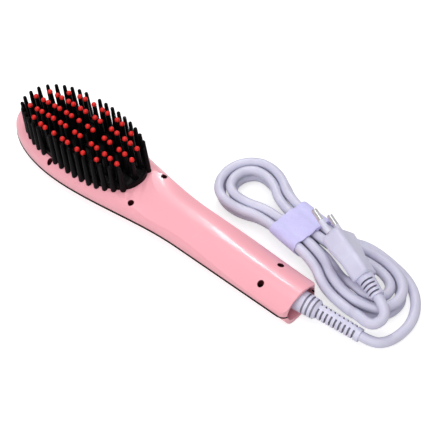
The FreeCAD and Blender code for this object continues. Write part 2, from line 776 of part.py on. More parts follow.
def flat_ring(name, outer, inner, end_outer, end_inner, floor, height):
    """Closed strip between two insets of the body's outline."""
    body = doc.addObject("PartDesign::Body", name)
    sketch = body.newObject("Sketcher::SketchObject", name + "_outline")
    attach(sketch, body, "XY_Plane", floor)
    sketch.addGeometry(outline_curves(float(outer), float(end_outer)), False)
    sketch.addGeometry(outline_curves(float(inner), float(end_inner)), False)
    pad = body.newObject("PartDesign::Pad", name + "_pad")
    pad.Profile = sketch
    bind(pad, "Length", height)
    body.Tip = pad
    return body


trim_ring = flat_ring(
    "trim_ring", -S.trim_proud, S.trim_width - S.trim_proud, tail_x + S.trim_proud,
    tail_x + S.trim_proud - S.trim_width, trim_z, S.trim_height
)
node(cut("seam_trim_solid", trim_ring, [tail_recess, tail_corners]), "seam_trim")

# Pad frame: a wall with a ledge for the heater plate, and the outer bristles on it

def revolved(profile):
    """Solid about the Z axis from a closed wire in the XZ plane."""
    return Part.Face(Part.Wire(profile)).revolve(Vector(), Vector(0, 0, 1), 360)


def line(a, b):
    return Part.LineSegment(Vector(a[0], 0, a[1]), Vector(b[0], 0, b[1])).toShape()


def bow(a, b, c):
    return Part.Arc(Vector(a[0], 0, a[1]), Vector(b[0], 0, b[1]), Vector(c[0], 0, c[1])).toShape()


def bristle(foot_z, tip_z):
    """Tapered bristle with a rounded tip."""
    foot_r = num("bristle_foot") / 2
    tip_r = num("bristle_tip") / 2
    side = tip_z - tip_r
    half = tip_r * math.sqrt(0.5)
    solid = revolved([
        line((0, foot_z), (foot_r, foot_z)),
        line((foot_r, foot_z), (tip_r, side)),
        bow((tip_r, side), (half, side + half), (0, tip_z)),
        line((0, tip_z), (0, foot_z)),
    ])
    return solid


frame_wall = cut(
    "frame_wall_ring",
    pad_prism("frame_outside", wall_inset, seat_z, S.frame_seat + S.frame_rise),
    [
        pad_prism("frame_inside", inner_inset, plate_z, S.frame_rise + 1.0),
        pad_prism("frame_ledge", inner_inset + S.ledge_width, seat_z - 1.0, S.frame_seat + 2.0),
    ],
)
edge_points = outline_curves(0.0, float(tail_x))[0].toShape().discretize(1200)


def shell_top(x, y):
    """Height of the front shell's outside, from the distance to its outline."""
    radius = float(front_round)
    away = math.sqrt(min((p.x - x) ** 2 + (p.y - y) ** 2 for p in edge_points))
    if away >= radius:
        return float(top_z)
    return float(top_z) - radius + math.sqrt(radius ** 2 - (radius - away) ** 2)


def standing_bristle(spot, tip_z):
    """Bristle at spot with its foot cut flat, along the shell's slope there and just clear of it."""
    step = 0.5
    level = shell_top(spot.x, spot.y)
    slope_x = (shell_top(spot.x + step, spot.y) - shell_top(spot.x - step, spot.y)) / (2 * step)
    slope_y = (shell_top(spot.x, spot.y + step) - shell_top(spot.x, spot.y - step)) / (2 * step)
    rise = 0.0
    for i in range(16):
        dx = foot_inset * math.cos(i * math.pi / 8)
        dy = foot_inset * math.sin(i * math.pi / 8)
        rise = max(rise, shell_top(spot.x + dx, spot.y + dy) - level - slope_x * dx - slope_y * dy)
    level += rise + num("foot_clearance")
    lean = Rotation(Vector(0, 0, 1), Vector(-slope_x, -slope_y, 1))
    below = Part.makeBox(16, 16, 12, Vector(-8, -8, -12))
    below.Placement = Placement(Vector(0, 0, level), lean)
    solid = bristle(level - 4.0, tip_z).cut(below)
    solid.translate(spot)
    return solid


foot_inset = num("bristle_foot") / 2
round_length = even_points(foot_inset, 8)[1]
bristle_count = int(round(round_length / num("bristle_pitch")))
bristle_spots = []
for spot in even_points(foot_inset, bristle_count)[0]:
    smooth = spot.x > float(pad_x) + num("pad_length") / 2 - num("smooth_end")
    at_screw = math.hypot(spot.x - float(screw_spots[0][0]), abs(spot.y) - float(screw_spots[0][1])) < (
        num("screw_bore") + num("bristle_foot")) / 2
    if not smooth and not at_screw:
        bristle_spots.append(spot)
bristle_solids = []
for spot in bristle_spots:
    part = (spot.x - float(pad_x)) / (num("pad_length") / 2)
    tip_z = float(top_z) + num("bristle_height") - num("bristle_drop") * part * part
    bristle_solids.append(standing_bristle(spot, tip_z))
bristles = feature("bristle_set", Part.makeCompound(bristle_solids))
node(fuse("pad_frame_solid", [frame_wall, bristles]), "pad_frame")
print("outer bristles", len(bristle_spots))

# Heater plate, combs and caps

plate = pad_prism("heater_plate_solid", inner_inset + S.plate_gap, plate_z, S.plate_thick)
node(plate, "heater_plate")

# Rows of teeth. Each entry is a pair of teeth, or a single tooth, by its distance from the pad's middle.
MIDDLE_ROW = [
    ("one", -48.0), ("two", -37.0), ("two", -24.6), ("two", -12.2), ("one", -1.8),
    ("two", 9.4), ("two", 25.6), ("two", 39.6), ("one", 48.6),
]
SIDE_ROW = [
    ("one", -43.5), ("two", -33.0), ("two", -20.6), ("two", -8.0),
    ("two", 6.6), ("two", 22.8), ("two", 35.4), ("one", 44.2),
]
EDGE_ROW = [("one", -31.0), ("two", -19.0), ("one", -7.2), ("two", 4.0), ("two", 18.6), ("one", 32.0)]


def row_spots(entries, row):
    """Tooth positions of a row; the outermost rows follow the frame's wall."""
    xs = []
    for kind, x in entries:
        if kind == "two":
            xs += [x - num("tooth_split") / 2, x + num("tooth_split") / 2]
        else:
            xs.append(x)
    return [Vector(float(pad_x) + x, row_y(float(pad_x) + x, row), 0) for x in xs]


def row_y(x, row):
    y = row * num("row_pitch")
    if abs(row) < 2:
        return y
    room = pad_half(x, float(inner_inset) + num("tooth_base") / 2 + 0.4)
    return math.copysign(min(abs(y), room), row)


def crown(spot):
    """Height of a cap's top."""
    along = (spot.x - float(pad_x)) / (num("pad_length") / 2)
    across = spot.y / (num("pad_width") / 2)
    lower = num("crown_end") * along ** 2 + num("crown_side") * across ** 2
    return float(top_z) + num("crown_height") - lower


def tooth(base_z, shoulder_z):
    base_r = num("tooth_base") / 2
    end_r = num("tooth_end") / 2
    pin_r = num("spigot_diameter") / 2
    pin_z = shoulder_z + num("spigot_height")
    return revolved([
        line((0, base_z), (base_r, base_z)),
        line((base_r, base_z), (end_r, shoulder_z)),
        line((end_r, shoulder_z), (pin_r, shoulder_z)),
        line((pin_r, shoulder_z), (pin_r, pin_z)),
        line((pin_r, pin_z), (0, pin_z)),
        line((0, pin_z), (0, base_z)),
    ])


def cap(shoulder_z):
    cap_r = num("cap_diameter") / 2
    bore_r = num("spigot_diameter") / 2 + num("cap_clearance")
    bore_z = shoulder_z + num("spigot_height") + num("cap_clearance")
    top = shoulder_z + num("cap_height")
    side = top - cap_r
    half = cap_r * math.sqrt(0.5)
    return revolved([
        line((bore_r, shoulder_z), (cap_r, shoulder_z)),
        line((cap_r, shoulder_z), (cap_r, side)),
        bow((cap_r, side), (half, side + half), (0, top)),
        line((0, top), (0, bore_z)),
        line((0, bore_z), (bore_r, bore_z)),
        line((bore_r, bore_z), (bore_r, shoulder_z)),
    ])


def rail(spots, row):
    """Strip under a row of teeth, along the row's own line."""
    half = num("rail_width") / 2
    first = spots[0].x - num("tooth_base") / 2 - 0.4
    last = spots[-1].x + num("tooth_base") / 2 + 0.4
    count = 24
    xs = [first + (last - first) * i / count for i in range(count + 1)]
    if abs(row) < 2:
        xs = [first, last]
    inner = [Vector(x, row_y(x, row) - half, 0) for x in xs]
    outer = [Vector(x, row_y(x, row) + half, 0) for x in xs]
    strip = Part.Face(Part.makePolygon(inner + outer[::-1] + [inner[0]]))
    solid = strip.extrude(Vector(0, 0, num("rail_height")))
    solid.translate(Vector(0, 0, float(deck_z)))
    return solid


ROWS = [
    ("middle", 0, MIDDLE_ROW), ("near", -1, SIDE_ROW), ("far", 1, SIDE_ROW),
    ("near_edge", -2, EDGE_ROW), ("far_edge", 2, EDGE_ROW),
]
for name, row, entries in ROWS:
    spots = row_spots(entries, row)
    strip = rail(spots, row)
    teeth = []
    caps = []
    for spot in spots:
        shoulder_z = crown(spot) - num("cap_height")
        solid = tooth(float(deck_z), shoulder_z)
        solid.translate(spot)
        teeth.append(solid)
        solid = cap(shoulder_z)
        solid.translate(spot)
        caps.append(solid)
    node(feature("comb_solid_" + name, strip.multiFuse(teeth).removeSplitter()), "comb_" + name)
    node(feature("caps_solid_" + name, Part.makeCompound(caps)), "caps_" + name)

# Heating element, its clamp and the thermal parts under it

node(
    mid_box("heater_box", (S.heater_length, S.heater_width, S.heater_thick), (pad_x, zero, heater_z)),
    "heating_element",
)
clamp = mid_box("clamp_box", (clamp_length, clamp_width, S.clamp_thick), (pad_x, zero, clamp_z))
node(clamp, "heater_clamp")
along_x = Rotation(Vector(0, 1, 0), 90)
sensor_z = clamp_z - S.sensor_diameter / 2
fuse_at = (pad_x + 6.0, -S.heater_width / 4, sensor_z)
node(rod("fuse_rod", S.sensor_diameter, S.fuse_length, fuse_at, along_x), "thermal_fuse")
sensor_at = (pad_x + 6.0, S.heater_width / 4, sensor_z)
node(rod("sensor_rod", S.sensor_diameter, S.sensor_length, sensor_at, along_x), "temperature_sensor")

# Screws

screws = []
for i, (x, y) in enumerate(screw_spots, 1):
    head = rod("screw_head_%d" % i, S.screw_head, S.screw_head_height, (x, y, head_z))
    reach = S.screw_length + S.screw_head_height / 2
    shank = rod("screw_shank_%d" % i, S.screw_shank, reach, (x, y, head_z - S.screw_length))
    slot = mid_box(
        "screw_slot_%d" % i, (S.screw_head * 0.7, S.screw_head * 0.18, S.screw_head_height),
        (x, y, head_z + S.screw_head_height * 0.6),
    )
    cross = mid_box(
        "screw_cross_%d" % i, (S.screw_head * 0.18, S.screw_head * 0.7, S.screw_head_height),
        (x, y, head_z + S.screw_head_height * 0.6),
    )
    whole = fuse("screw_blank_%d" % i, [head, shank])
    screws.append(cut("screw_%d" % i, whole, [slot, cross]))
node(group("case_screw_set", screws), "case_screws")

# Controls

overlay = stadium(
    "overlay_blank", S.panel_length - S.overlay_gap * 2, S.panel_width - S.overlay_gap * 2,
    S.panel_depth - S.overlay_thick, S.overlay_thick, panel_x
)
overlay_hole = S.button_diameter + S.overlay_gap * 2
overlay_low = S.panel_depth - S.overlay_thick - 1.0
overlay_cuts = [
    rod("overlay_hole_%d" % i, overlay_hole, S.overlay_thick + 2.0, (x, zero, overlay_low))
    for i, x in enumerate(button_xs, 1)
]
overlay_cuts.append(
    mid_box(
        "overlay_window", (S.window_length, S.window_width, S.overlay_thick + 2.0),
        (window_x, zero, overlay_low),
    )
)
node(cut("overlay_solid", overlay, overlay_cuts), "panel_overlay")
node(
    mid_box(
        "window_box", (S.window_length, S.window_width, S.window_thick), (window_x, zero, S.panel_depth)
    ),
    "display_window",
)
node(
    mid_box(
        "board_box", (S.board_length, S.board_width, S.board_thick), (board_x, zero, board_z)
    ),
    "control_board",
)
display_z = floor_z + S.display_gap
node(
    mid_box(
        "display_box", (S.display_length, S.display_width, board_z - display_z), (window_x, zero, display_z)
    ),
    "display_module",
)
switches = []
bore = S.stem_diameter + S.button_clearance * 2
bore_depth = S.stem_entry + S.button_travel + S.switch_play
for i, x in enumerate(button_xs, 1):
    size = (S.switch_side, S.switch_side, S.switch_height)
    case = mid_box("switch_case_%d" % i, size, (x, zero, switch_z))
    well = rod("switch_well_%d" % i, bore, bore_depth + 1.0, (x, zero, switch_z - 1.0))
    switches.append(cut("switch_%d" % i, case, [well]))
node(group("switch_set", switches), "push_switches")
upward = Rotation(Vector(0, 1, 0), -90)
for x, name in zip(button_xs, ("power_button", "plus_button", "minus_button")):
    low = S.panel_depth - S.button_proud
    stem_top = switch_z + S.stem_entry
    profile = [
        (low, zero),
        (low, S.button_diameter / 2 - 0.5),
        (low + 0.5, S.button_diameter / 2),
        (floor_z, S.button_diameter / 2),
        (floor_z, S.button_flange / 2),
        (flange_top, S.button_flange / 2),
        (flange_top, S.stem_diameter / 2),
        (stem_top, S.stem_diameter / 2),
        (stem_top, zero),
    ]
    button = turned(name + "_body", profile, Placement(Vector(float(x), 0, 0), upward))
    bind(button, "Placement.Base.x", x)
    node(button, name)
board_top = board_z + S.board_thick
relay_y = S.board_width / 2 - S.relay_width / 2 - 1.0
relay = mid_box(
    "relay_box", (S.relay_length, S.relay_width, S.relay_height), (board_x + 12.0, relay_y, board_top)
)
capacitor_y = S.capacitor_diameter / 2 + 1.0 - S.board_width / 2
capacitor = rod(
    "capacitor_rod", S.capacitor_diameter, S.capacitor_height, (board_x - 2.0, capacitor_y, board_top)
)
chip = mid_box("chip_box", (S.chip_side, S.chip_side, S.chip_height), (board_x - 12.0, zero, board_top))
node(group("board_part_set", [relay, capacitor, chip]), "board_parts")

# Swivel at the tail, with slip rings and contacts

boot_start = S.swivel_neck_length
ring_r = S.ring_diameter / 2
spigot_end = -(S.swivel_flange_thick + S.swivel_spigot_length)
node(
    turned(
        "swivel_core_body",
        [
            (spigot_end, zero),
            (spigot_end, spigot_r),
            (-S.swivel_flange_thick, spigot_r),
            (-S.swivel_flange_thick, flange_r),
            (zero, flange_r),
            (zero, neck_r),
            (boot_start, neck_r),
            (boot_start, zero),
        ],
        swivel_place,
    ),
    "swivel_core",
)
rings = []
ring_starts = [spigot_end + S.ring_lead + S.ring_pitch * i for i in range(2)]
for i, start in enumerate(ring_starts, 1):
    rings.append(
        turned(
            "ring_body_%d" % i,
            [
                (start, spigot_r), (start, ring_r),
                (start + S.ring_width, ring_r), (start + S.ring_width, spigot_r),
            ],
            swivel_place,
        )
    )
node(group("slip_ring_set", rings), "slip_rings")

leaves = []
for start in ring_starts:
    middle = on_swivel(float(start) + num("ring_width") / 2)
    leaf_z = middle.z - num("ring_diameter") / 2 - num("contact_gap") - num("contact_thick")
    corner = Vector(middle.x - num("ring_width") / 2, middle.y - num("contact_length") / 2, leaf_z)
    leaves.append(Part.makeBox(num("ring_width"), num("contact_length"), num("contact_thick"), corner))
leaf_box = Part.makeCompound(leaves).BoundBox
leaf_low = leaf_box.ZMin
holder_x0 = leaf_box.XMin - 1.0
holder_y0 = leaf_box.Center.y - num("holder_width") / 2
holder_x1 = min(leaf_box.XMax + 1.0, float(screw_spots[2][0]) - num("boss_diameter") / 2 - 0.3)
holder = Part.makeBox(
    holder_x1 - holder_x0, num("holder_width"), leaf_low - num("shell_wall"),
    Vector(holder_x0, holder_y0, num("shell_wall")),
)
steps = []
for leaf in leaves:
    b = leaf.BoundBox
    if b.ZMin - leaf_low > 1e-6:
        corner = Vector(b.XMin, b.YMin, leaf_low)
        steps.append(Part.makeBox(b.XLength, b.YLength, b.ZMin - leaf_low, corner))
node(feature("contact_holder_solid", holder.multiFuse(steps) if steps else holder), "contact_holder")
node(feature("contact_leaf_set", Part.makeCompound(leaves)), "contact_leaves")

# Strain relief: plain collar, three grooves, then slotted ribs that taper to the cord

boot_grooves = 12
boot_pitch = (num("boot_length") - num("boot_plain") - 1.4) / boot_grooves
boot_step = num("boot_plain") + 2.7 * boot_pitch


def boot_radius(along):
    first, last, done = num("boot_diameter"), num("boot_rings"), along / boot_step
    if along > boot_step:
        first, last = num("boot_neck"), num("boot_end")
        done = (along - boot_step) / (num("boot_length") - boot_step)
    return (first + (last - first) * done) / 2


def boot_core(along):
    return boot_radius(along) - (0.9 if along < boot_step else 0.36 * boot_radius(along))


def ribbed(start, length, plain, radius_at, depth_at, grooves, pitch, slot_from, web):
    """Revolved relief along X with grooves; from slot_from on, a web above and one below join the ribs."""
    corners = [(0.0, 0.0), (0.0, radius_at(0.0))]
    webs = []
    at = plain
    for i in range(grooves):
        wide = pitch * 0.42
        a, b = at, at + wide
        corners += [(a, radius_at(a)), (a, depth_at(a)), (b, depth_at(b)), (b, radius_at(b))]
        if a >= slot_from:
            webs.append((a, b))
        at += pitch
    corners += [(length, radius_at(length)), (length, 0.0), (0.0, 0.0)]
    wire = Part.makePolygon([Vector(start + x, r, 0) for x, r in corners])
    solid = Part.Face(wire).revolve(Vector(), Vector(1, 0, 0), 360)
    joins = []
    for a, b in webs:
        r = radius_at(b) - 0.1
        joins.append(Part.makeBox(b - a + 0.4, web, 2 * r, Vector(start + a - 0.2, -web / 2, -r)))
    return solid.multiFuse(joins) if joins else solid


boot = ribbed(
    num("swivel_neck_length"), num("boot_length"), num("boot_plain"), boot_radius, boot_core,
    boot_grooves, boot_pitch, boot_step, num("boot_web")
)
node(feature("cord_boot_solid", boot, swivel_place), "cord_boot")
boot_tip = on_swivel(num("swivel_neck_length") + num("boot_length"))

# Cord: a lead from the boot, a tied hank, and a lead to the plug

cord_d = num("cord_diameter")
cord_r = cord_d / 2
hank_pitch = max(num("hank_pitch"), 1.18 * cord_d)
hank_waist = max(num("hank_waist"), 1.25 * hank_pitch + 0.545 * cord_d)
layer_low = num("table_gap") + num("tie_thick") + num("tie_gap") + cord_r
layer_high = layer_low + max(num("hank_rise"), 1.09 * cord_d)
hank_turn = Rotation(Vector(0, 0, 1), num("hank_angle"))
hank_place = Placement(Vector(num("hank_x"), num("hank_y"), 0), hank_turn)


def half_arc(a, corner, b):
    """Arc that leaves a towards corner and reaches b from it."""
    middle = (a + b) * 0.5
    half = (b - a).Length / 2
    if (corner - middle).Length < 1e-6:
        return Part.LineSegment(a, b).toShape()
    turn = math.acos(max(-1.0, min(1.0, half / (corner - a).Length)))
    crest = middle + (corner - middle).normalize() * (half * math.tan(turn / 2))
    return Part.Arc(a, crest, b).toShape()


def biarc(a, a_way, b, b_way):
    """Two tangent arcs from a to b with the given headings."""
    reach = b - a
    both = a_way + b_way
    square = both.dot(both) - 4.0
    if abs(square) < 1e-9:
        if abs(reach.cross(a_way).Length) < 1e-9:
            return [Part.LineSegment(a, b).toShape()]
        length = reach.dot(reach) / (2 * reach.dot(both))
    else:
        root = math.sqrt((reach.dot(both)) ** 2 - square * reach.dot(reach))
        length = (reach.dot(both) - root) / square
        if length <= 0:
            length = (reach.dot(both) + root) / square
    first = a + a_way * length
    second = b - b_way * length
    joint = (first + second) * 0.5
    return [half_arc(a, first, joint), half_arc(joint, second, b)]


LEFT = Vector(-1, 0, 0)
RIGHT = Vector(1, 0, 0)
NEAR = Vector(0, -1, 0)
FAR = Vector(0, 1, 0)


tie_half = num("tie_width") / 2 + 1.0


def waist(side, inset, z):
    """Straight run under the tie; an inset counts in turns."""
    x, y = tie_half * side, side * (hank_waist - inset * hank_pitch)
    way = LEFT if side > 0 else RIGHT
    return [(Vector(x, y, z), way), (Vector(-x, y, z), way)]


def round_end(side, inset, step, z):
    """Into an end, its tip, and out of it; the inset changes by step from one to the next."""
    part = "right" if side > 0 else "left"
    half = num("hank_%s_half" % part)
    q = [(inset + step * i) * hank_pitch for i in range(3)]
    tip = num("hank_" + part) - q[1]
    flat = tip - num("hank_%s_cap" % part) * (half - q[1]) / half
    way = RIGHT * side
    return [
        (Vector(side * flat, -side * (half - q[0]), z), way),
        (Vector(side * tip, 0, z), FAR * side),
        (Vector(side * flat, side * (half - q[2]), z), way * -1),
    ]


def hank_nodes():
    """Places and headings: two turns spiral in below, a climb along a run, two spiral out above."""
    low, high, step = layer_low, layer_high, 0.125
    flat = num("hank_right") - num("hank_right_cap")
    outer = num("hank_right_half") + hank_pitch / 8
    entry = flat - num("hank_entry")
    nodes = [(Vector(entry + 1.1 * cord_d, outer, low), LEFT), (Vector(entry, outer, low), LEFT)]
    nodes += waist(1, 0.0, low) + round_end(-1, 0.125, step, low)
    nodes += waist(-1, 0.5, low) + round_end(1, 0.625, step, low)
    nodes += waist(1, 1.0, low) + round_end(-1, 1.125, step, low)
    nodes += waist(-1, 1.5, low)
    inner = round_end(1, 1.875, -step, high)
    run = inner[0][0] - nodes[-1][0]
    half_way = nodes[-1][0] + run * 0.5
    nodes.append((Vector(half_way.x, half_way.y, low), Vector(run.x, run.y * 2, 0).normalize()))
    nodes += inner
    nodes += waist(1, 1.5, high) + round_end(-1, 1.375, -step, high)
    nodes += waist(-1, 1.0, high) + round_end(1, 0.875, -step, high)
    nodes += waist(1, 0.5, high) + round_end(-1, 0.375, -step, high)
    nodes += waist(-1, 0.0, high)
    nodes += [(Vector(flat, -outer, high), RIGHT), (Vector(flat + 1.1 * cord_d, -outer, high), RIGHT)]
    return nodes


def tube(edges, name):
    """Round cord along a chain of edges; prints its volume against section times length."""
    wire = Part.Wire(edges)
    start = wire.Edges[0]
    heading = start.tangentAt(start.FirstParameter)
    ring = Part.Wire(Part.makeCircle(cord_r, start.valueAt(start.FirstParameter), heading))
    solid = wire.makePipeShell([ring], True, False)
    if solid.Volume < 0:
        solid.reverse()
    share = solid.Volume / (math.pi * cord_r ** 2 * wire.Length)
    print(name, "length %.0f mm, volume over section times length %.5f" % (wire.Length, share))
    return solid, wire


hank_ways = hank_nodes()
hank_edges = []
for (a, a_way), (b, b_way) in zip(hank_ways, hank_ways[1:]):
    hank_edges += biarc(a, a_way, b, b_way)
hank, hank_wire = tube(hank_edges, "cord_hank")
tightest = min(e.Curve.Radius for e in hank_edges if hasattr(e.Curve, "Radius"))
samples = hank_wire.discretize(Distance=1.0)
run = hank_wire.Length / (len(samples) - 1)
skip = int(4 * cord_d / run)
least = min(
    (samples[i] - samples[j]).Length
    for i in range(len(samples)) for j in range(i + skip, len(samples))
    if abs(samples[i].x - samples[j].x) < 12 and abs(samples[i].y - samples[j].y) < 12
)
print("cord_hank least gap to itself %.2f mm, tightest turn %.1f mm" % (least - 2 * cord_r, tightest))
node(feature("cord_hank_solid", hank, hank_place), "cord_hank")


def rounded_route(points, name):
    """Straight runs joined by tangent arcs, each arc as large as its two runs allow."""
    edges = []
    at = points[0]
    radii = []
    for a, b, c in zip(points, points[1:], points[2:]):
        into = (b - a).normalize()
        out = (c - b).normalize()
        turn = into.getAngle(out)
        take = 0.45 * min((b - a).Length, (c - b).Length)
        radii.append(take / math.tan(turn / 2))
        p = b - into * take
        q = b + out * take
        edges.append(Part.LineSegment(at, p).toShape())
        edges.append(half_arc(p, b, q))
        at = q
    edges.append(Part.LineSegment(at, points[-1]).toShape())
    print(name, "radii", ["%.1f" % r for r in radii])
    return edges


hank_start = hank_place.multVec(hank_ways[0][0])
hank_end = hank_place.multVec(hank_ways[-1][0])
way_in = hank_place.Rotation.multVec(RIGHT)
lead_points = [
    boot_tip,
    boot_tip + swivel_axis * 8.0,
    Vector(184.0, 13.2, 5.9),
    Vector(186.6, 22.5, 5.3),
    Vector(186.6, 33.8, 4.95),
    Vector(182.0, 45.8, layer_low),
    Vector(172.3, 56.0, layer_low),
    hank_start + way_in * 12.0,
    hank_start,
]
lead, lead_wire = tube(rounded_route(lead_points, "cord_lead"), "cord_lead")
node(feature("cord_lead_solid", lead), "cord_lead")

# Plug: it lies across the hank on one edge, its pins towards the tie

plug_tail = Vector(166.1, 27.2, 20.8)
plug_way = Vector(-0.926, 0.349, 0.149).normalize()
plug_side = Vector(-0.1, 0.72, -0.69)
plug_side = (plug_side - plug_way * plug_side.dot(plug_way)).normalize()
plug_face = plug_way.cross(plug_side)
plug_place = Placement(plug_tail, Rotation(plug_way, plug_side, plug_face, "XYZ"))

plug_points = [
    hank_end,
    hank_end + way_in * 4.4,
    Vector(161.8, 12.7, 15.0),
    Vector(175.0, 11.2, 14.8),
    plug_tail - plug_way * 12.7,
    plug_tail,
]
plug_lead, plug_wire = tube(rounded_route(plug_points, "cord_plug_lead"), "cord_plug_lead")
node(feature("cord_plug_lead_solid", plug_lead), "cord_plug_lead")
print("cord in all %.0f mm" % (lead_wire.Length + hank_wire.Length + plug_wire.Length))

# Tie round the hank

def round_rect(width, height, radius, mid_y, mid_z, x):
    """Rectangle with round corners in the YZ plane at x."""
    y, z, r = width / 2, height / 2, radius
    k = r * (1 - math.sqrt(0.5))

    def at(a, b):
        return Vector(x, mid_y + a, mid_z + b)

    edges = [
        Part.LineSegment(at(-y + r, -z), at(y - r, -z)).toShape(),
        Part.Arc(at(y - r, -z), at(y - k, -z + k), at(y, -z + r)).toShape(),
        Part.LineSegment(at(y, -z + r), at(y, z - r)).toShape(),
        Part.Arc(at(y, z - r), at(y - k, z - k), at(y - r, z)).toShape(),
        Part.LineSegment(at(y - r, z), at(-y + r, z)).toShape(),
        Part.Arc(at(-y + r, z), at(-y + k, z - k), at(-y, z - r)).toShape(),
        Part.LineSegment(at(-y, z - r), at(-y, -z + r)).toShape(),
        Part.Arc(at(-y, -z + r), at(-y + k, -z + k), at(-y + r, -z)).toShape(),
    ]
    return Part.Wire(edges)


def band(radius, x):
    """Line at x of a tight band round the four outer runs, at a radius from their middles."""
    far_run = hank_waist - hank_pitch / 2
    spots = [
        Vector(x, -hank_waist, layer_high),
        Vector(x, far_run, layer_high),
        Vector(x, hank_waist, layer_low),
        Vector(x, -far_run, layer_low),
    ]
    ways = [(spots[(i + 1) % 4] - spots[i]).normalize() for i in range(4)]
    outs = [Vector(0, -way.z, way.y) * radius for way in ways]
    edges = []
    for i in range(4):
        k = (i + 1) % 4
        crest = (outs[i] + outs[k]).normalize() * radius
        edges.append(Part.LineSegment(spots[i] + outs[i], spots[k] + outs[i]).toShape())
        edges.append(Part.Arc(spots[k] + outs[i], spots[k] + crest, spots[k] + outs[k]).toShape())
    return Part.Wire(edges)


tie_inner = cord_r + num("tie_gap")
tie_x = -num("tie_width") / 2
tie_along = Vector(num("tie_width"), 0, 0)
tie_outside = Part.Face(band(tie_inner + num("tie_thick"), tie_x)).extrude(tie_along)
tie = tie_outside.cut(Part.Face(band(tie_inner, tie_x)).extrude(tie_along))
node(feature("cable_tie_solid", tie, hank_place), "cable_tie")

# Plug's block, relief, pins and sleeves, along the plug's own X axis

relief = num("relief_length")
block_start = relief
block_end = relief + num("plug_length")
rear_w, rear_t = num("plug_rear_width"), num("plug_rear_thick")
front_w, front_t = num("plug_width"), num("plug_thick")
r = min(num("plug_round"), rear_t / 2 - 1.0)
block = Part.makeLoft(
    [
        round_rect(rear_w - 1.6, rear_t - 1.6, r - 0.6, 0, 0, block_start),
        round_rect(rear_w, rear_t, r, 0, 0, block_start + 1.2),
        round_rect(rear_w + 0.4, rear_t + 0.4, r, 0, 0, block_start + num("plug_length") * 0.42),
        round_rect(front_w - 1.0, front_t, r, 0, 0, block_start + num("plug_length") * 0.68),
        round_rect(front_w, front_t, r, 0, 0, block_end - 2.0),
        round_rect(front_w - 2.4, front_t - 2.4, r - 0.8, 0, 0, block_end),
    ],
    True, True
)


def relief_radius(along):
    part = along / num("relief_length")
    return (num("relief_end") + (num("relief_diameter") - num("relief_end")) * part) / 2


relief_pitch = (relief - 3.0) / 4
relief_solid = ribbed(
    0.0, relief, 1.5, relief_radius, lambda a: relief_radius(a) * 0.62, 4, relief_pitch, 0.0, num("boot_web")
)
core_r = num("pin_core") / 2
pin_r = num("pin_diameter") / 2
sleeve_r = num("sleeve_diameter") / 2
gap = num("cap_clearance")
plug = block.fuse(relief_solid)
pins = []
sleeves = []
for side in (-1, 1):
    at = Vector(block_end, side * num("pin_pitch") / 2, 0)
    hole_depth = num("pin_root") + gap
    plug = plug.cut(Part.makeCylinder(core_r + gap, hole_depth + 1.0, at - RIGHT * hole_depth, RIGHT))
    end = num("pin_length")
    nose = pin_r * 0.6
    crest = nose * (1 - math.sqrt(0.5))
    collar = num("sleeve_length")
    corner = [
        Vector(-num("pin_root"), 0, 0), Vector(-num("pin_root"), core_r, 0), Vector(collar, core_r, 0),
        Vector(collar, pin_r, 0), Vector(end - nose, pin_r, 0),
    ]
    edges = [Part.LineSegment(a, b).toShape() for a, b in zip(corner, corner[1:])]
    front = Vector(end, pin_r - nose, 0)
    edges.append(Part.Arc(corner[-1], Vector(end - crest, pin_r - crest, 0), front).toShape())
    edges.append(Part.LineSegment(front, Vector(end, 0, 0)).toShape())
    edges.append(Part.LineSegment(Vector(end, 0, 0), corner[0]).toShape())
    pin = Part.Face(Part.Wire(edges)).revolve(Vector(), Vector(1, 0, 0), 360)
    pin.translate(at)
    pins.append(pin)
    outside = Part.makeCylinder(sleeve_r, collar, at, RIGHT)
    inside = Part.makeCylinder(core_r + gap, collar + 2.0, at - RIGHT, RIGHT)
    sleeves.append(outside.cut(inside))
node(feature("plug_body_solid", plug.removeSplitter(), plug_place), "plug_body")
node(feature("plug_pin_set", Part.makeCompound(pins), plug_place), "plug_pins")
node(feature("pin_sleeve_set", Part.makeCompound(sleeves), plug_place), "pin_sleeves")

# Insulated leads inside: heating element to board, and board to the contact holder

def inner_lead(start, end, ease):
    """Lead that leaves both ends along X; ease is the straight share of each end."""
    straight = Vector((end.x - start.x) * ease, 0, 0)
    points = [start, start + straight, end - straight, end]
    wire = Part.Wire(rounded_route(points, "inner lead"))
    ring = Part.Wire(Part.makeCircle(num("lead_diameter") / 2, start, points[1] - start))
    return wire.makePipeShell([ring], True, False)


board_mid = float(board_z) + num("board_thick") / 2
board_front = float(board_x) - num("board_length") / 2
board_rear = float(board_x) + num("board_length") / 2
heater_end = float(pad_x) + num("heater_length") / 2
heater_mid = float(heater_z) + num("heater_thick") * 0.4
holder_mid = num("shell_wall") + (leaf_low - num("shell_wall")) * 0.6
holder_y = holder_y0 + num("holder_width") / 2
heater_leads = []
mains_leads = []
for side in (-1, 1):
    y = side * num("heater_width") * 0.2
    at_heater = Vector(heater_end, y, heater_mid)
    heater_leads.append(inner_lead(at_heater, Vector(board_front, y, board_mid), 0.3))
    y = holder_y + side * num("holder_width") * 0.28
    at_board = Vector(board_rear, y, board_mid)
    mains_leads.append(inner_lead(at_board, Vector(holder_x0, y, holder_mid), 0.3))
node(feature("heater_lead_set", Part.makeCompound(heater_leads)), "heater_leads")
node(feature("mains_lead_set", Part.makeCompound(mains_leads)), "mains_leads")

doc.recompute()

# Checks, then one file for each piece

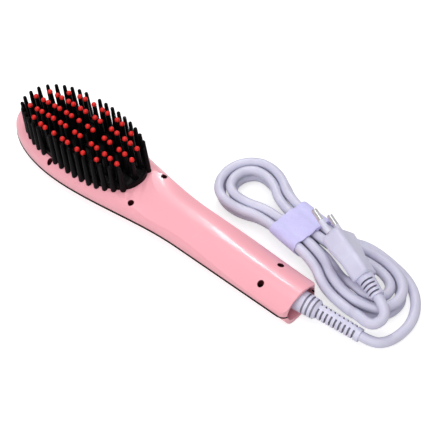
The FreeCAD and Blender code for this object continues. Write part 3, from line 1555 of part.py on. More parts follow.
broken = [o.Name for o in doc.Objects if "Invalid" in o.State or "Error" in o.State]
if broken:
    raise RuntimeError("failed objects: " + ", ".join(broken))
for name, item in NODES:
    if item.Shape.isNull() or not item.Shape.isValid() or not item.Shape.Solids:
        raise RuntimeError("bad shape: " + name)
os.makedirs("parts", exist_ok=True)
for name, item in NODES:
    item.Shape.exportStep(os.path.join("parts", name + ".step"))
print(len(NODES), "pieces written")
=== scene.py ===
# %% [markdown]
# # A heated straightening brush and its tied cord
# The object is a pink paddle brush that lies on its back. A black pad with upright bristles and
# red-tipped teeth stands on the paddle, and a pale mains cord leaves the tail, is folded into a
# hank, and is held by a soft hook-and-loop tie with the plug lying on top.
# The CAD frame already holds every rigid piece at its real place, so this lesson only dresses it:
# it lights it, lays the cord as one smooth line, and gives each surface its own finish.

# %% Load the frame
import math
import bmesh
import bpy
from mathutils import Matrix, Vector


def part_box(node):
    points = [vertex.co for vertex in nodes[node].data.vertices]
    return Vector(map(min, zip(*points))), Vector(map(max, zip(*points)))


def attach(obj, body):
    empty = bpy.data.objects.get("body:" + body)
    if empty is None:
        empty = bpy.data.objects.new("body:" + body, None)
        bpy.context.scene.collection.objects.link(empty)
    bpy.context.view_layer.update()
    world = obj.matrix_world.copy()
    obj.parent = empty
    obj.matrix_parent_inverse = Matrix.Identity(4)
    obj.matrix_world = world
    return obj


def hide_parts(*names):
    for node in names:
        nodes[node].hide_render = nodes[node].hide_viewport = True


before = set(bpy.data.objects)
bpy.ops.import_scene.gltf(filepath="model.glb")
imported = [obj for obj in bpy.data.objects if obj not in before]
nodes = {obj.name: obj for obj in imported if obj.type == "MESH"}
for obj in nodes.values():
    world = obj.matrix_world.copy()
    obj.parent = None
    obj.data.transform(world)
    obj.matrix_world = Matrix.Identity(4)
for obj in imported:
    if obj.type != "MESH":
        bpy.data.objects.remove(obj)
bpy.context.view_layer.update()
MM = 0.001

# %% [markdown]
# ## Camera
# The photograph looks down on the brush from the cord's side, with the paddle far away on the left.
# The camera was solved from the outline, the screw holes and the plug's pins, so its place and its
# three axes are written down instead of being aimed by eye. A long lens keeps the handle's sides
# nearly parallel, as they are in the photograph.

# %% Set the camera
LENS, SENSOR = 84.7, 36.0
LOOK_AT = Vector((42.93, 16.0, 15.0))
LOOK_FROM = 0.64462
camera_data = bpy.data.cameras.new("view")
camera_data.lens = LENS
camera_data.sensor_width = SENSOR
camera = bpy.data.objects.new("view", camera_data)
bpy.context.collection.objects.link(camera)
right = Vector((0.7245, 0.6861, -0.0686))
back = Vector((0.4935, -0.4462, 0.7466)).normalized()
right = (right - back * right.dot(back)).normalized()
up = back.cross(right)
turn = Matrix((right, up, back)).transposed().to_4x4()
camera.matrix_world = Matrix.Translation(LOOK_AT * MM + back * LOOK_FROM) @ turn
bpy.context.scene.camera = camera
bpy.context.scene.view_settings.view_transform = "Standard"
print("camera at", [round(v, 3) for v in camera.matrix_world.translation])

# %% [markdown]
# ## Shader arithmetic
# Most finishes below are small sums: a base value plus a little noise, a mask times a scratch.
# Written as node links they are hard to read, so a signal wraps an output socket and lets Python's
# own operators add the Math nodes. One method makes every other node: its settings come first and
# then what goes into its sockets.

# %% A signal
class Signal:
    """An output socket whose sums and products become Math nodes."""

    def __init__(self, finish, socket):
        self.finish = finish
        self.socket = socket

    def math(self, operation, first, second):
        return self.finish.node("ShaderNodeMath", {"operation": operation}, {0: first, 1: second})

    def __add__(self, other):
        return self.math("ADD", self, other)

    __radd__ = __add__

    def __mul__(self, other):
        return self.math("MULTIPLY", self, other)

    __rmul__ = __mul__

    def __sub__(self, other):
        return self.math("SUBTRACT", self, other)

    def __rsub__(self, other):
        return self.math("SUBTRACT", other, self)

    def __pow__(self, other):
        return self.math("POWER", self, other)

    def __rpow__(self, other):
        return self.math("POWER", other, self)

    def above(self, low, high):
        """0 below low, 1 above high, smooth between."""
        return self.finish.node(
            "ShaderNodeMapRange", {"interpolation_type": "SMOOTHSTEP"}, {0: self, 1: low, 2: high}
        )

    def rise(self, low, high):
        """0 below low, 1 above high, straight between."""
        return self.finish.node("ShaderNodeMapRange", {}, {0: self, 1: low, 2: high})

    def unsigned(self):
        """The value without its sign."""
        return self.math("ABSOLUTE", self, 0.0)

    def wave(self):
        """The sine of an angle in radians."""
        return self.math("SINE", self, 0.0)


print("a signal can", [name for name in vars(Signal) if not name.startswith("__")])

# %% A finish
class Finish:
    """A material with one Principled shader and the nodes that feed it."""

    def __init__(self, name, roughness=0.4, **fixed):
        self.material = bpy.data.materials.new(name)
        self.material.use_nodes = True
        self.tree = self.material.node_tree
        self.shader = self.tree.nodes["Principled BSDF"]
        self.shader.inputs["Roughness"].default_value = roughness
        for socket, value in fixed.items():
            self.shader.inputs[socket.replace("_", " ")].default_value = value
        self.places = self.node("ShaderNodeTexCoord", {}, {}, "Object")

    def node(self, kind, settings, inputs, out=0):
        made = self.tree.nodes.new(kind)
        for key, value in settings.items():
            setattr(made, key, value)
        for key, value in inputs.items():
            if isinstance(value, Signal):
                self.tree.links.new(value.socket, made.inputs[key])
            else:
                made.inputs[key].default_value = value
        return Signal(self, made.outputs[out])

    def vector(self, operation, first, second, out="Vector"):
        return self.node("ShaderNodeVectorMath", {"operation": operation}, {0: first, 1: second}, out)

    def stretched(self, x, y, z):
        return self.node("ShaderNodeMapping", {}, {"Vector": self.places, "Scale": (x, y, z)})

    def parts(self):
        """The place's x, y and z as three signals."""
        return [self.node("ShaderNodeSeparateXYZ", {}, {0: self.places}, i) for i in range(3)]

    def noise(self, scale, detail=2.0, where=None):
        sockets = {"Vector": where or self.places, "Scale": scale, "Detail": detail}
        return self.node("ShaderNodeTexNoise", {}, sockets)

    def mix(self, factor, first, second):
        sockets = {0: factor, 6: first, 7: second}
        return self.node("ShaderNodeMix", {"data_type": "RGBA"}, sockets, 2)

    def bump(self, height, strength, depth):
        sockets = {"Height": height, "Strength": strength, "Distance": depth}
        self.feed("Normal", self.node("ShaderNodeBump", {}, sockets))

    def feed(self, socket, value):
        self.tree.links.new(value.socket, self.shader.inputs[socket])


print("a finish can", [name for name in vars(Finish) if not name.startswith("__")])

# %% Paint and wear
def paint(red, green, blue):
    """A colour as it is read off a screen, from 0 to 255, as linear light."""
    parts = [v / 255 for v in (red, green, blue)]
    parts = [v / 12.92 if v <= 0.04045 else ((v + 0.055) / 1.055) ** 2.4 for v in parts]
    return (*parts, 1.0)


def wear(finish, *names):
    """Give CAD nodes this finish."""
    for name in names:
        slots = nodes[name].data.materials
        slots.clear()
        slots.append(finish.material)


def grey(level):
    return (level, level, level, 1.0)


print("middle grey as linear light", round(paint(128, 128, 128)[0], 3))

# %% [markdown]
# ## Floor and surroundings
# The photograph is a cut-out on white, with hardly any shadow. A white floor would throw much light
# back under the brush, so the floor is a pale grey that the camera and shiny pieces see brighter than
# it is. The surroundings work in the same way: white to the camera, pale in a mirror image, and a soft
# fill for all other light. So the white of the picture adds no light to the object.

# %% Lay the floor
FLOOR_REACH, FLOOR_DROP = 6.0, 0.0002
FLOOR_TONE, FLOOR_SEEN, FLOOR_MIRRORED = 0.6, 0.66, 0.34
RAYS = ["Is Camera Ray", "Is Glossy Ray", "Is Transmission Ray"]


def seen_as(finish, plain, mirrored, direct):
    """One colour for the camera, one for mirror images and clear pieces, one for all other light."""
    camera_ray, glossy, clear = [finish.node("ShaderNodeLightPath", {}, {}, ray) for ray in RAYS]
    return finish.mix(camera_ray, finish.mix(glossy + clear, plain, mirrored), direct)


floor_mesh = bpy.data.meshes.new("floor")
square = [(-1, -1), (1, -1), (1, 1), (-1, 1)]
floor_mesh.from_pydata([(x * FLOOR_REACH, y * FLOOR_REACH, 0) for x, y in square], [], [(0, 1, 2, 3)])
floor = bpy.data.objects.new("floor", floor_mesh)
bpy.context.collection.objects.link(floor)
floor.location.z = -FLOOR_DROP
pale = Finish("pale_floor", roughness=0.9, Emission_Strength=1.0)
pale.shader.inputs["Base Color"].default_value = grey(FLOOR_TONE)
pale.feed("Emission Color", seen_as(pale, grey(0.0), grey(FLOOR_MIRRORED), grey(FLOOR_SEEN)))
floor_mesh.materials.append(pale.material)
print("floor nodes", len(pale.tree.nodes))

# %% Colour the surroundings
SKY_FILL = (0.37, 0.37, 0.382, 1.0)
SKY_MIRRORED = 0.62


class Sky(Finish):
    """The world's nodes, with its background in the shader's place."""

    def __init__(self, world):
        world.use_nodes = True
        self.tree = world.node_tree
        self.shader = self.tree.nodes["Background"]


world = bpy.data.worlds.new("studio")
bpy.context.scene.world = world
sky = Sky(world)
sky.feed("Color", seen_as(sky, SKY_FILL, grey(SKY_MIRRORED), grey(1.0)))
sky.shader.inputs["Strength"].default_value = 1.0
print("sky nodes", len(sky.tree.nodes))

# %% [markdown]
# ## Lamps
# Two broad lamps, one over the brush and one from the front, give the soft light of a studio. The
# bright streak along the handle is a lamp's mirror image, and its shape is the lamp's shape: a long
# narrow strip far behind the brush, placed where the handle's crest mirrors it into the camera.

# %% Hang the lamps
def lamp(name, place, aim, size, power):
    data = bpy.data.lights.new(name, "AREA")
    data.shape = "RECTANGLE"
    data.size, data.size_y = size
    data.energy = power
    made = bpy.data.objects.new(name, data)
    bpy.context.collection.objects.link(made)
    place = Vector(place)
    made.location = place
    made.rotation_euler = (Vector(aim) - place).to_track_quat("-Z", "Y").to_euler()


lamp("streak", (-0.275, 0.425, 0.6), aim=(0.055, 0.0, 0.02), size=(0.035, 0.26), power=1.25)
lamp("front", (0.35, -0.95, 0.75), aim=(0.02, 0.0, 0.0), size=(1.2, 0.6), power=6.4)
lamp("over", (0.1, -0.05, 1.35), aim=(0.05, 0.02, 0.0), size=(0.9, 0.9), power=6.6)

# %% [markdown]
# ## The cord's line
# A real mains cord is one round thing of fixed length, so it is one spline from the boot to the
# plug. It leaves the boot along the boot's own axis, swings round the end of the hank, runs through
# two turns on the table, climbs along a run, and comes back out in two turns on top of them.
# Each turn is written as headings at a few places. Two places and their headings give the corners
# of the line between them, and a quadratic spline that a chain of corners steers has no kinks.

# %% Stations of a turn
CORD = 6.4
PITCH = 7.7
LOW, HIGH = 4.85, 11.85
WAIST, WAIST_RUN = 13.2, 13.0
# Each end's reach from the tie, its half width, and the length of its round cap
ENDS = {-1: (72.0, 22.5, 21.0), 1: (87.0, 23.0, 30.0)}
ALONG = Vector((1, 0, 0))
ACROSS = Vector((0, 1, 0))


def waist(side, inset, z):
    """Run under the tie; insets count in turns."""
    y = side * (WAIST - inset * PITCH)
    return [(Vector((x * side, y, z)), ALONG * -side) for x in (WAIST_RUN, -WAIST_RUN)]


def round_end(side, inset, step, z):
    """Into an end of the hank, its tip, and out again."""
    reach, half, cap = ENDS[side]
    before, middle, after = [(inset + step * i) * PITCH for i in range(3)]
    tip = reach - middle
    flat = tip - cap * (half - middle) / half
    return [
        (Vector((side * flat, -side * (half - before), z)), ALONG * side),
        (Vector((side * tip, 0, z)), ACROSS * side),
        (Vector((side * flat, side * (half - after), z)), ALONG * -side),
    ]


print("stations of one turn", len(waist(1, 0.0, LOW) + round_end(-1, 0.0, 0.0, LOW)) * 2)

# %% Turns of the hank
TURNS_DEEP, HALF_TURN, DRIFT = 1.5, 0.5, 0.125
LEAD_IN = 13.0
outer = ENDS[1][1] + PITCH * DRIFT
flat = ENDS[1][0] - ENDS[1][2]
entry = flat - LEAD_IN
sides = (1, -1, 1)
places = [(Vector((entry, outer, LOW)), -ALONG)]
for i, side in enumerate(sides):
    inset = HALF_TURN * i
    places += waist(side, inset, LOW) + round_end(-side, inset + DRIFT, DRIFT, LOW)
places += waist(-1, TURNS_DEEP, LOW)
inner = round_end(1, TURNS_DEEP + 3 * DRIFT, -DRIFT, HIGH)
run = inner[0][0] - places[-1][0]
half_way = places[-1][0] + run * 0.5
places.append((Vector((half_way.x, half_way.y, LOW)), Vector((run.x, run.y * 2, 0)).normalized()))
places += inner
for i, side in enumerate(sides):
    inset = TURNS_DEEP - HALF_TURN * i
    places += waist(side, inset, HIGH) + round_end(-side, inset - DRIFT, -DRIFT, HIGH)
places += waist(-1, 0.0, HIGH)
places.append((Vector((flat, -outer, HIGH)), ALONG))
print("stations of the hank", len(places))

# %% Corners of the hank
HANK_MIDDLE, HANK_ANGLE = (92.5, 46.2, 0.0), -7.5
hank_turn = Matrix.Translation(HANK_MIDDLE) @ Matrix.Rotation(math.radians(HANK_ANGLE), 4, "Z")


def corners(a, a_way, b, b_way):
    """The two corners of a smooth way from a to b with these headings."""
    reach = b - a
    both = a_way + b_way
    square = both.dot(both) - 4.0
    along = reach.dot(both)
    if abs(square) < 1e-9:
        length = reach.dot(reach) / (2 * along)
    else:
        length = (along - math.sqrt(along ** 2 - square * reach.dot(reach))) / square
    return [a + a_way * length, b - b_way * length]


hank_points = []
for (a, a_way), (b, b_way) in zip(places, places[1:]):
    straight = (b - a).cross(a_way).length < 1e-6 and a_way.dot(b_way) > 0.999
    if not straight:
        hank_points += [hank_turn @ p for p in corners(a, a_way, b, b_way)]
print("hank corners", len(hank_points))

# %% [markdown]
# ## Leads at both ends
# The lead from the boot and the lead to the plug are laid through listed points, the same points as the
# solids have. The plug's lead lifts off the hank and curls back over it, because the plug lies
# across the turns with its pins towards the tie.

# %% Both ends of the route
SWIVEL = Vector((117.0, 0.0, 12.0))
NECK_LENGTH, BOOT_LENGTH = 7.0, 47.0
side_turn, dip_turn = math.radians(7.0), math.radians(5.0)
level = math.cos(dip_turn)
boot_axis = Vector((level * math.cos(side_turn), level * math.sin(side_turn), -math.sin(dip_turn)))
boot_tip = SWIVEL + boot_axis * (NECK_LENGTH + BOOT_LENGTH)
along_hank = hank_turn.to_3x3() @ ALONG
beyond = 1.1 * CORD
hank_start = hank_turn @ Vector((entry + beyond, outer, LOW))
hank_end = hank_turn @ Vector((flat + beyond, -outer, HIGH))
plug_tail = Vector((166.1, 27.2, 20.8))
plug_way = Vector((-0.926, 0.349, 0.149)).normalized()
lead_points = [
    boot_tip,
    boot_tip + boot_axis * 8.0,
    Vector((184.0, 13.2, 5.9)),
    Vector((186.6, 22.5, 5.3)),
    Vector((186.6, 33.8, 4.95)),
    Vector((182.0, 45.8, LOW)),
    Vector((172.3, 56.0, LOW)),
    hank_start + along_hank * 12.0,
]
plug_points = [
    hank_end + along_hank * 4.4,
    Vector((161.8, 12.7, 15.0)),
    Vector((175.0, 11.2, 14.8)),
    plug_tail - plug_way * 12.7,
    plug_tail,
]
route = lead_points + hank_points + plug_points
print("cord route points", len(route))

# %% Lay the cord
cord_curve = bpy.data.curves.new("mains_cord", "CURVE")
cord_curve.dimensions = "3D"
cord_curve.resolution_u = 10
cord_curve.bevel_depth = 1.0
cord_curve.bevel_resolution = 7
cord_curve.use_fill_caps = True
line = cord_curve.splines.new("NURBS")
line.points.add(len(route) - 1)
for point, place in zip(line.points, route):
    point.co = (*(place * MM), 1.0)
    point.radius = CORD / 2 * MM
line.order_u = 3
line.use_endpoint_u = True
cord = bpy.data.objects.new("mains_cord", cord_curve)
bpy.context.collection.objects.link(cord)
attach(cord, "brush")
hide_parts("cord_lead", "cord_hank", "cord_plug_lead")
print("cord line of order", line.order_u)

# %% [markdown]
# ## Tie
# A soft hook-and-loop strap holds the hank. It is one strip of cloth that goes once round the runs,
# pulled tight over the outer ones, and laps over its own start on the far side. Its path is therefore
# the outline of a rubber band round the four outer runs, and the strip's section has rounded edges.
# Cloth this stiff does not need a simulation: the path gives the tension, and a little dip between
# the runs and a little wander of the edges give the softness.

# %% Path of the tie
TIE_WIDTH, TIE_THICK, TIE_CLEAR = 24.0, 1.1, 0.35
WAIST_INNER = 9.35
band_turns = [(-WAIST, HIGH), (WAIST_INNER, HIGH), (WAIST, LOW), (-WAIST_INNER, LOW)]
band_turns = [Vector(turn_at) for turn_at in band_turns]
band_radius = CORD / 2 + TIE_CLEAR + TIE_THICK / 2


def band_pieces():
    """Straight stretches and arcs of the band, each with its length."""
    pieces = []
    for i, turn_at in enumerate(band_turns):
        after = band_turns[(i + 1) % 4]
        beyond = band_turns[(i + 2) % 4]
        run_way = (after - turn_at).normalized()
        next_way = (beyond - after).normalized()
        out = Vector((-run_way.y, run_way.x))
        pieces.append(((after - turn_at).length, turn_at, out, 0.0))
        bend = run_way.angle_signed(next_way)
        pieces.append((abs(bend) * band_radius, after, out, -abs(bend)))
    return pieces


band = band_pieces()
band_round = sum(piece[0] for piece in band)


def on_band(s, lift):
    """Place across and above the table, at length s round the band."""
    s = s % band_round
    for length, centre, out, bend in band:
        if s <= length:
            break
        s -= length
    if bend:
        turned = out.copy()
        turned.rotate(Matrix.Rotation(bend * s / length, 2))
        return centre + turned * (band_radius + lift)
    return centre + Vector((out.y, -out.x)) * s + out * (band_radius + lift)


print("once round the runs %.1f mm" % band_round)

# %% Softness of the tie
TIE_START, TIE_LAP, LAP_CLEAR = 15.2, 17.8, 0.12
LAP_BEFORE, LAP_RISE = 9.0, 8.0
TOP_RUN, RUN_SPACING = 22.5, 7.52
DIP_DEPTH, SWELL_HEIGHT, EDGE_WANDER, EDGE_RIPPLE = 0.22, 0.14, 0.28, 0.16
tie_length = band_round + TIE_LAP


def smooth_step(x):
    x = min(max(x, 0.0), 1.0)
    return x * x * (3 - 2 * x)


def lap_lift(s):
    """The strip climbs on its own start at the end of its way round."""
    return smooth_step((s - band_round + LAP_BEFORE) / LAP_RISE) * (TIE_THICK + LAP_CLEAR)


def dip(s, wide):
    """On top, the strip sinks a little between the runs, most along its middle."""
    top = (TIE_START + s) % band_round
    if top >= TOP_RUN:
        return 0.0
    return DIP_DEPTH * (math.cos(math.tau * top / RUN_SPACING) - 1.0) * (1 - 0.4 * wide ** 2)


def swell(s, wide):
    """Slow waves that lift the cloth off its path."""
    return SWELL_HEIGHT * math.sin(s * 0.42 + 3.1 * wide) * math.sin(s * 0.23)


def wander(s, wide):
    """Slow waves that move the edges sideways."""
    slow = EDGE_WANDER * math.sin(s * 0.31 + 1.3 * wide)
    return slow + EDGE_RIPPLE * math.sin(s * 0.83 + 2.1)


def blunt(x, power):
    """A sine or cosine made squarer, for a flat section with round edges."""
    return math.copysign(abs(x) ** power, x)


print("tie length %.1f mm" % tie_length)

# %% Weave the tie
STEPS, SECTION = 210, 28
EDGE_ROOM, END_TAPER, END_THINNER = 0.45, 2.0, 0.25
EDGE_POWER, FACE_POWER = 0.22, 0.45
tie_mesh = bpy.data.meshes.new("cord_tie")
shape = bmesh.new()
rings = []
for i in range(STEPS + 1):
    s = tie_length * i / STEPS
    at_end = smooth_step((s - tie_length + END_TAPER) / END_TAPER)
    half_thick = TIE_THICK / 2 * (1.0 - END_THINNER * at_end)
    ring = []
    for k in range(SECTION):
        angle = math.tau * k / SECTION
        wide = blunt(math.cos(angle), EDGE_POWER)
        thick = blunt(math.sin(angle), FACE_POWER)
        u = (TIE_WIDTH / 2 - EDGE_ROOM) * wide + wander(s, wide)
        place = on_band(TIE_START + s, lap_lift(s) + dip(s, wide) + swell(s, wide) + thick * half_thick)
        ring.append(shape.verts.new(hank_turn @ Vector((u, place.x, place.y)) * MM))
    rings.append(ring)
for first, second in zip(rings, rings[1:]):
    for k in range(SECTION):
        after = (k + 1) % SECTION
        shape.faces.new((first[k], first[after], second[after], second[k]))
shape.faces.new(rings[0][::-1])
shape.faces.new(rings[-1])
bmesh.ops.recalc_face_normals(shape, faces=shape.faces)
shape.to_mesh(tie_mesh)
shape.free()
tie_mesh.shade_smooth()
tie = bpy.data.objects.new("cord_tie", tie_mesh)
bpy.context.collection.objects.link(tie)
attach(tie, "brush")
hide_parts("cable_tie")
tie_length * MM
print("tie faces", len(tie_mesh.polygons))

# %% [markdown]
# ## Facts of the cord
# The photograph shows the cord from the boot to the plug, so its length is the length of the line
# above. Below, the place where it leaves the boot is printed.

print("cord leaves the boot at", [round(v, 1) for v in boot_tip], "mm")

# %% [markdown]
# ## Pink shell
# The shell is glossy moulded plastic. Such a surface is never quite even: the polish of the mould
# leaves a faint orange peel, the colour clouds a little, and handling dulls it in patches. The noise
# is stretched along the handle, because the plastic flows along it when it is moulded. The bores over
# the six case screws are deep, so their walls get painted shade, a dark colour set by their distance
# from the axes.

# %% Painted shade on the walls of the screw bores
BORE_SPOTS = ((-71.0, 24.3), (0.0, 15.2), (107.0, 9.2))
BORE_FROM, BORE_RADIUS, BORE_BLUR = 10.45, 2.11, 0.05


def bore_shade_mask(finish):
    """Mask of the painted shade: 1 inside the six bores, which stand in pairs either side of the middle,
    0 elsewhere.
    """
    x, y, z = finish.parts()
    bores = 0.0
    for bore_x, bore_y in BORE_SPOTS:
        away = ((x - bore_x * MM) ** 2.0 + (y.unsigned() - bore_y * MM) ** 2.0) ** 0.5
        bores = 1.0 - away.above(BORE_RADIUS * MM, (BORE_RADIUS + BORE_BLUR) * MM) + bores
    return bores * z.above(BORE_FROM * MM, (BORE_FROM + BORE_BLUR) * MM)


print("bores painted", 2 * len(BORE_SPOTS))

# %% Finish the shells
shell = Finish("pink_gloss_plastic", Coat_Roughness=0.12, IOR=1.5)
cloud = shell.noise(9.0, 3.0, shell.stretched(0.5, 1.0, 1.0))
pink = shell.mix(cloud.above(0.2, 0.8), paint(250, 172, 183), paint(252, 177, 187))
# The walls of the bores get painted shade: a dark maroon mixed in by the bore mask.
shell.feed("Base Color", shell.mix(bore_shade_mask(shell), pink, paint(70, 20, 28)))
smudge = shell.noise(38.0, 2.0).above(0.15, 0.9)
shell.feed("Roughness", 0.28 + smudge * 0.05)
shell.feed("Coat Weight", 0.28 - smudge * 0.06)
shell.bump(shell.noise(900.0, 1.0) + shell.noise(260.0, 1.0) * 0.6, 0.05, 0.0002)
wear(shell, "front_shell", "back_cover")
print("shell nodes", len(shell.tree.nodes))

# %% [markdown]
# ## Black pieces
# The pad and its bristles are matt, heat-proof nylon: almost black, with a fine grain that catches a
# little light on the edges. The seam strip is soft rubber, and the heater plate has a dark ceramic
# coat with tiny bright specks. The specks could come from a picture, but noise that is cut off at a
# high value scatters them without one.

# %% Finish the pad
pad = Finish("black_nylon", Specular_IOR_Level=0.08)
grain = pad.noise(1400.0, 2.0)
pad.feed("Base Color", pad.mix(grain.above(0.35, 0.75), paint(4, 4, 5), paint(11, 10, 12)))
pad.feed("Roughness", 0.42 + pad.noise(120.0, 3.0) * 0.2)
pad.bump(grain, 0.12, 0.0003)
wear(pad, "pad_frame")
print("pad nodes", len(pad.tree.nodes))

# %% Finish the teeth
comb = Finish("black_tooth_plastic", Specular_IOR_Level=0.1)
streak = comb.noise(500.0, 2.0, comb.stretched(1.0, 1.0, 0.15))
comb.feed("Base Color", comb.mix(streak, paint(5, 4, 6), paint(13, 12, 14)))
comb.feed("Roughness", 0.3 + streak * 0.25)
wear(comb, "comb_middle", "comb_near", "comb_far", "comb_near_edge", "comb_far_edge")
print("comb nodes", len(comb.tree.nodes))

# %% Finish the seam strip and the heater plate
trim = Finish("black_seam_rubber", roughness=0.7, Specular_IOR_Level=0.12)
dust = trim.noise(300.0, 3.0)
trim.feed("Base Color", trim.mix(dust.above(0.5, 0.8), paint(5, 4, 5), paint(17, 15, 16)))
trim.bump(dust, 0.1, 0.0003)
wear(trim, "seam_trim")

plate = Finish("dark_ceramic_coat", Specular_IOR_Level=0.2)
speck = plate.noise(1700.0, 1.0).above(0.68, 0.74)
plate.feed("Base Color", plate.mix(speck, paint(9, 8, 10), paint(120, 118, 125)))
plate.feed("Metallic", speck * 0.8)
plate.feed("Roughness", 0.45 - speck * 0.2)
wear(plate, "heater_plate")
print("strip and plate", trim.material.name, plate.material.name)

# %% [markdown]
# ## Red caps
# Each tooth wears a small red cap of soft heat-proof silicone. It is satin, with a dull skin that
# mirrors little. In one even red the caps would look printed, so a noise in space gives each cap a
# tone of its own, a little darker where the colour pools.

# %% Finish the caps
cap = Finish("red_silicone", Specular_IOR_Level=0.3)
pool = cap.noise(420.0, 2.0)
cap.feed("Base Color", cap.mix(pool, paint(212, 20, 22), paint(234, 46, 36)))
cap.feed("Roughness", 0.34 + pool * 0.16)
wear(cap, "caps_middle", "caps_near", "caps_far", "caps_near_edge", "caps_far_edge")
print("cap nodes", len(cap.tree.nodes))

# %% [markdown]
# ## Pale plastics of the cord
# Cord, boot, plug and sleeves are all soft vinyl in the same cold grey, but each was moulded apart.
# The cord is extruded and smoother, and the boot and the plug have a spark-eroded grain. Painted shade
# darkens their grooves by depth. How deep a point lies in a groove is known without looking at the mesh:
# a relief is turned about an axis, so the depth is the rim's radius there less the point's distance from
# the axis.

# %% Painted shade in the grooves
# The dark grey of the painted shade in the grooves
GROOVE_SHADE = paint(112, 108, 124)
GROOVE_RIM, GROOVE_FLOOR, GROOVE_BLUR = 0.15, 0.9, 0.3
# First and last length of the grooves along each relief
BOOT_GROOVES, PLUG_GROOVES = (8.8, 44.5), (1.3, 11.3)
# Length along each relief and the radius of its ribs there
BOOT_RIMS = [(0.0, 7.2), (16.4, 6.44), (18.2, 4.98), (BOOT_LENGTH, 4.3)]
PLUG_RIMS = [(0.0, 4.2), (14.0, 5.5)]


def groove_shade_mask(finish, root, way, rims, first, last):
    """Mask of the painted shade: 1 deep in the grooves between two lengths of a relief, 0 on its ribs;
    millimetres.
    """
    offset = finish.vector("SUBTRACT", finish.places, root * MM)
    along = finish.vector("DOT_PRODUCT", offset, way, "Value")
    aside = finish.vector("CROSS_PRODUCT", offset, way)
    away = finish.node("ShaderNodeVectorMath", {"operation": "LENGTH"}, {0: aside}, "Value")
    rim = rims[0][1] * MM
    for (start, radius), (end, next_radius) in zip(rims, rims[1:]):
        rim = along.rise(start * MM, end * MM) * ((next_radius - radius) * MM) + rim
    begun = along.above((first - GROOVE_BLUR) * MM, first * MM)
    ended = along.above(last * MM, (last + GROOVE_BLUR) * MM)
    return (rim - away).above(GROOVE_RIM * MM, GROOVE_FLOOR * MM) * begun * (1 - ended)


boot_relief = (boot_tip - boot_axis * BOOT_LENGTH, boot_axis, BOOT_RIMS, *BOOT_GROOVES)
plug_relief = (plug_tail, plug_way, PLUG_RIMS, *PLUG_GROOVES)
print("boot's ribs taper from %.1f to %.1f mm" % (BOOT_RIMS[0][1], BOOT_RIMS[-1][1]))

# %% [markdown]
# ## Grip of the plug
# Both broad faces of the plug have an oval field of fine pyramids for the fingers. Two sine waves that
# cross each other make such a field, and they are counted along the plug's own axes, so the pattern
# keeps its place on the plug however the plug is laid. It is far finer than any edge of the plug, so it
# is a bump of the surface and not a shape.

# %% Raise the grip
GRIP_MIDDLE, GRIP_LONG, GRIP_BROAD = 27.5, 7.0, 5.6
GRIP_FACE, GRIP_BLUR, GRIP_PITCH = 4.6, 0.4, 1.1
plug_side = Vector((-0.1, 0.72, -0.69))
plug_side = (plug_side - plug_way * plug_side.dot(plug_way)).normalized()
plug_face = plug_way.cross(plug_side)


def grip_field(finish):
    """Crossed waves inside an oval of the plug's two broad faces, 0 elsewhere."""
    middle = (plug_tail + plug_way * GRIP_MIDDLE) * MM
    offset = finish.vector("SUBTRACT", finish.places, middle)
    axes = [axis / MM for axis in (plug_way, plug_side, plug_face)]
    along, aside, lift = [finish.vector("DOT_PRODUCT", offset, axis, "Value") for axis in axes]
    oval = (along * (1 / GRIP_LONG)) ** 2.0 + (aside * (1 / GRIP_BROAD)) ** 2.0
    faces = lift.unsigned().above(GRIP_FACE, GRIP_FACE + GRIP_BLUR)
    step = math.pi / GRIP_PITCH
    crossed = ((along + aside) * step).wave() * ((along - aside) * step).wave()
    return crossed * faces * (1 - oval.above(0.85, 1.0))


print("grip %.1f x %.1f mm" % (2 * GRIP_LONG, 2 * GRIP_BROAD))

# %% [markdown]
# ## Tones of the vinyl
# One helper gives the family its look, and each member its own tone: a slow cloud of colour, a little
# light that sinks in, a grain, and where a piece has them, painted shade in the grooves and a grip.

# %% Mix the vinyl
def vinyl(name, light, dark, grain_scale, rough, relief=None, pattern=None):
    made = Finish(name, Subsurface_Weight=0.06, Subsurface_Scale=0.002)
    tone = made.noise(60.0, 3.0)
    color = made.mix(tone.above(0.3, 0.72), dark, light)
    if relief:
        # Painted shade: the grooves are mixed towards a dark grey.
        color = made.mix(groove_shade_mask(made, *relief) * 0.8, color, GROOVE_SHADE)
    made.feed("Base Color", color)
    made.feed("Roughness", rough + (made.noise(200.0, 2.0) - 0.5) * 0.18)
    grain = made.noise(grain_scale, 1.0)
    if pattern:
        made.bump(pattern(made) * 0.4 + grain * 0.2, 0.45, 0.0003)
    else:
        made.bump(grain, 0.09, 0.0003)
    return made


cord_vinyl = vinyl("grey_cord_vinyl", paint(215, 213, 232), paint(203, 201, 221), 900.0, 0.36)
cord_curve.materials.append(cord_vinyl.material)
print("cord vinyl nodes", len(cord_vinyl.tree.nodes))

# %% Finish the mouldings on the cord
boot_tones = paint(220, 218, 237), paint(209, 207, 228)
boot_vinyl = vinyl("grey_boot_vinyl", *boot_tones, 1500.0, 0.42, boot_relief)
wear(boot_vinyl, "cord_boot")
plug_tones = paint(216, 214, 235), paint(205, 203, 226)
plug_vinyl = vinyl("grey_plug_vinyl", *plug_tones, 1400.0, 0.4, plug_relief, grip_field)
wear(plug_vinyl, "plug_body")
sleeve_vinyl = vinyl("grey_sleeve_vinyl", paint(224, 223, 238), paint(213, 212, 229), 1800.0, 0.38)
wear(sleeve_vinyl, "pin_sleeves")
core_plastic = vinyl("swivel_plastic", paint(196, 194, 206), paint(182, 180, 194), 1600.0, 0.4)
wear(core_plastic, "swivel_core")
print("plug vinyl nodes", len(plug_vinyl.tree.nodes))

# %% [markdown]
# ## Cloth of the tie
# The strap's outside is brushed loop cloth: thousands of short loops that scatter light at their tips,
# so the band looks soft and has no highlight. Two noises of different scale make the pile, and sheen
# gives the pale rim that such cloth shows at a grazing angle.

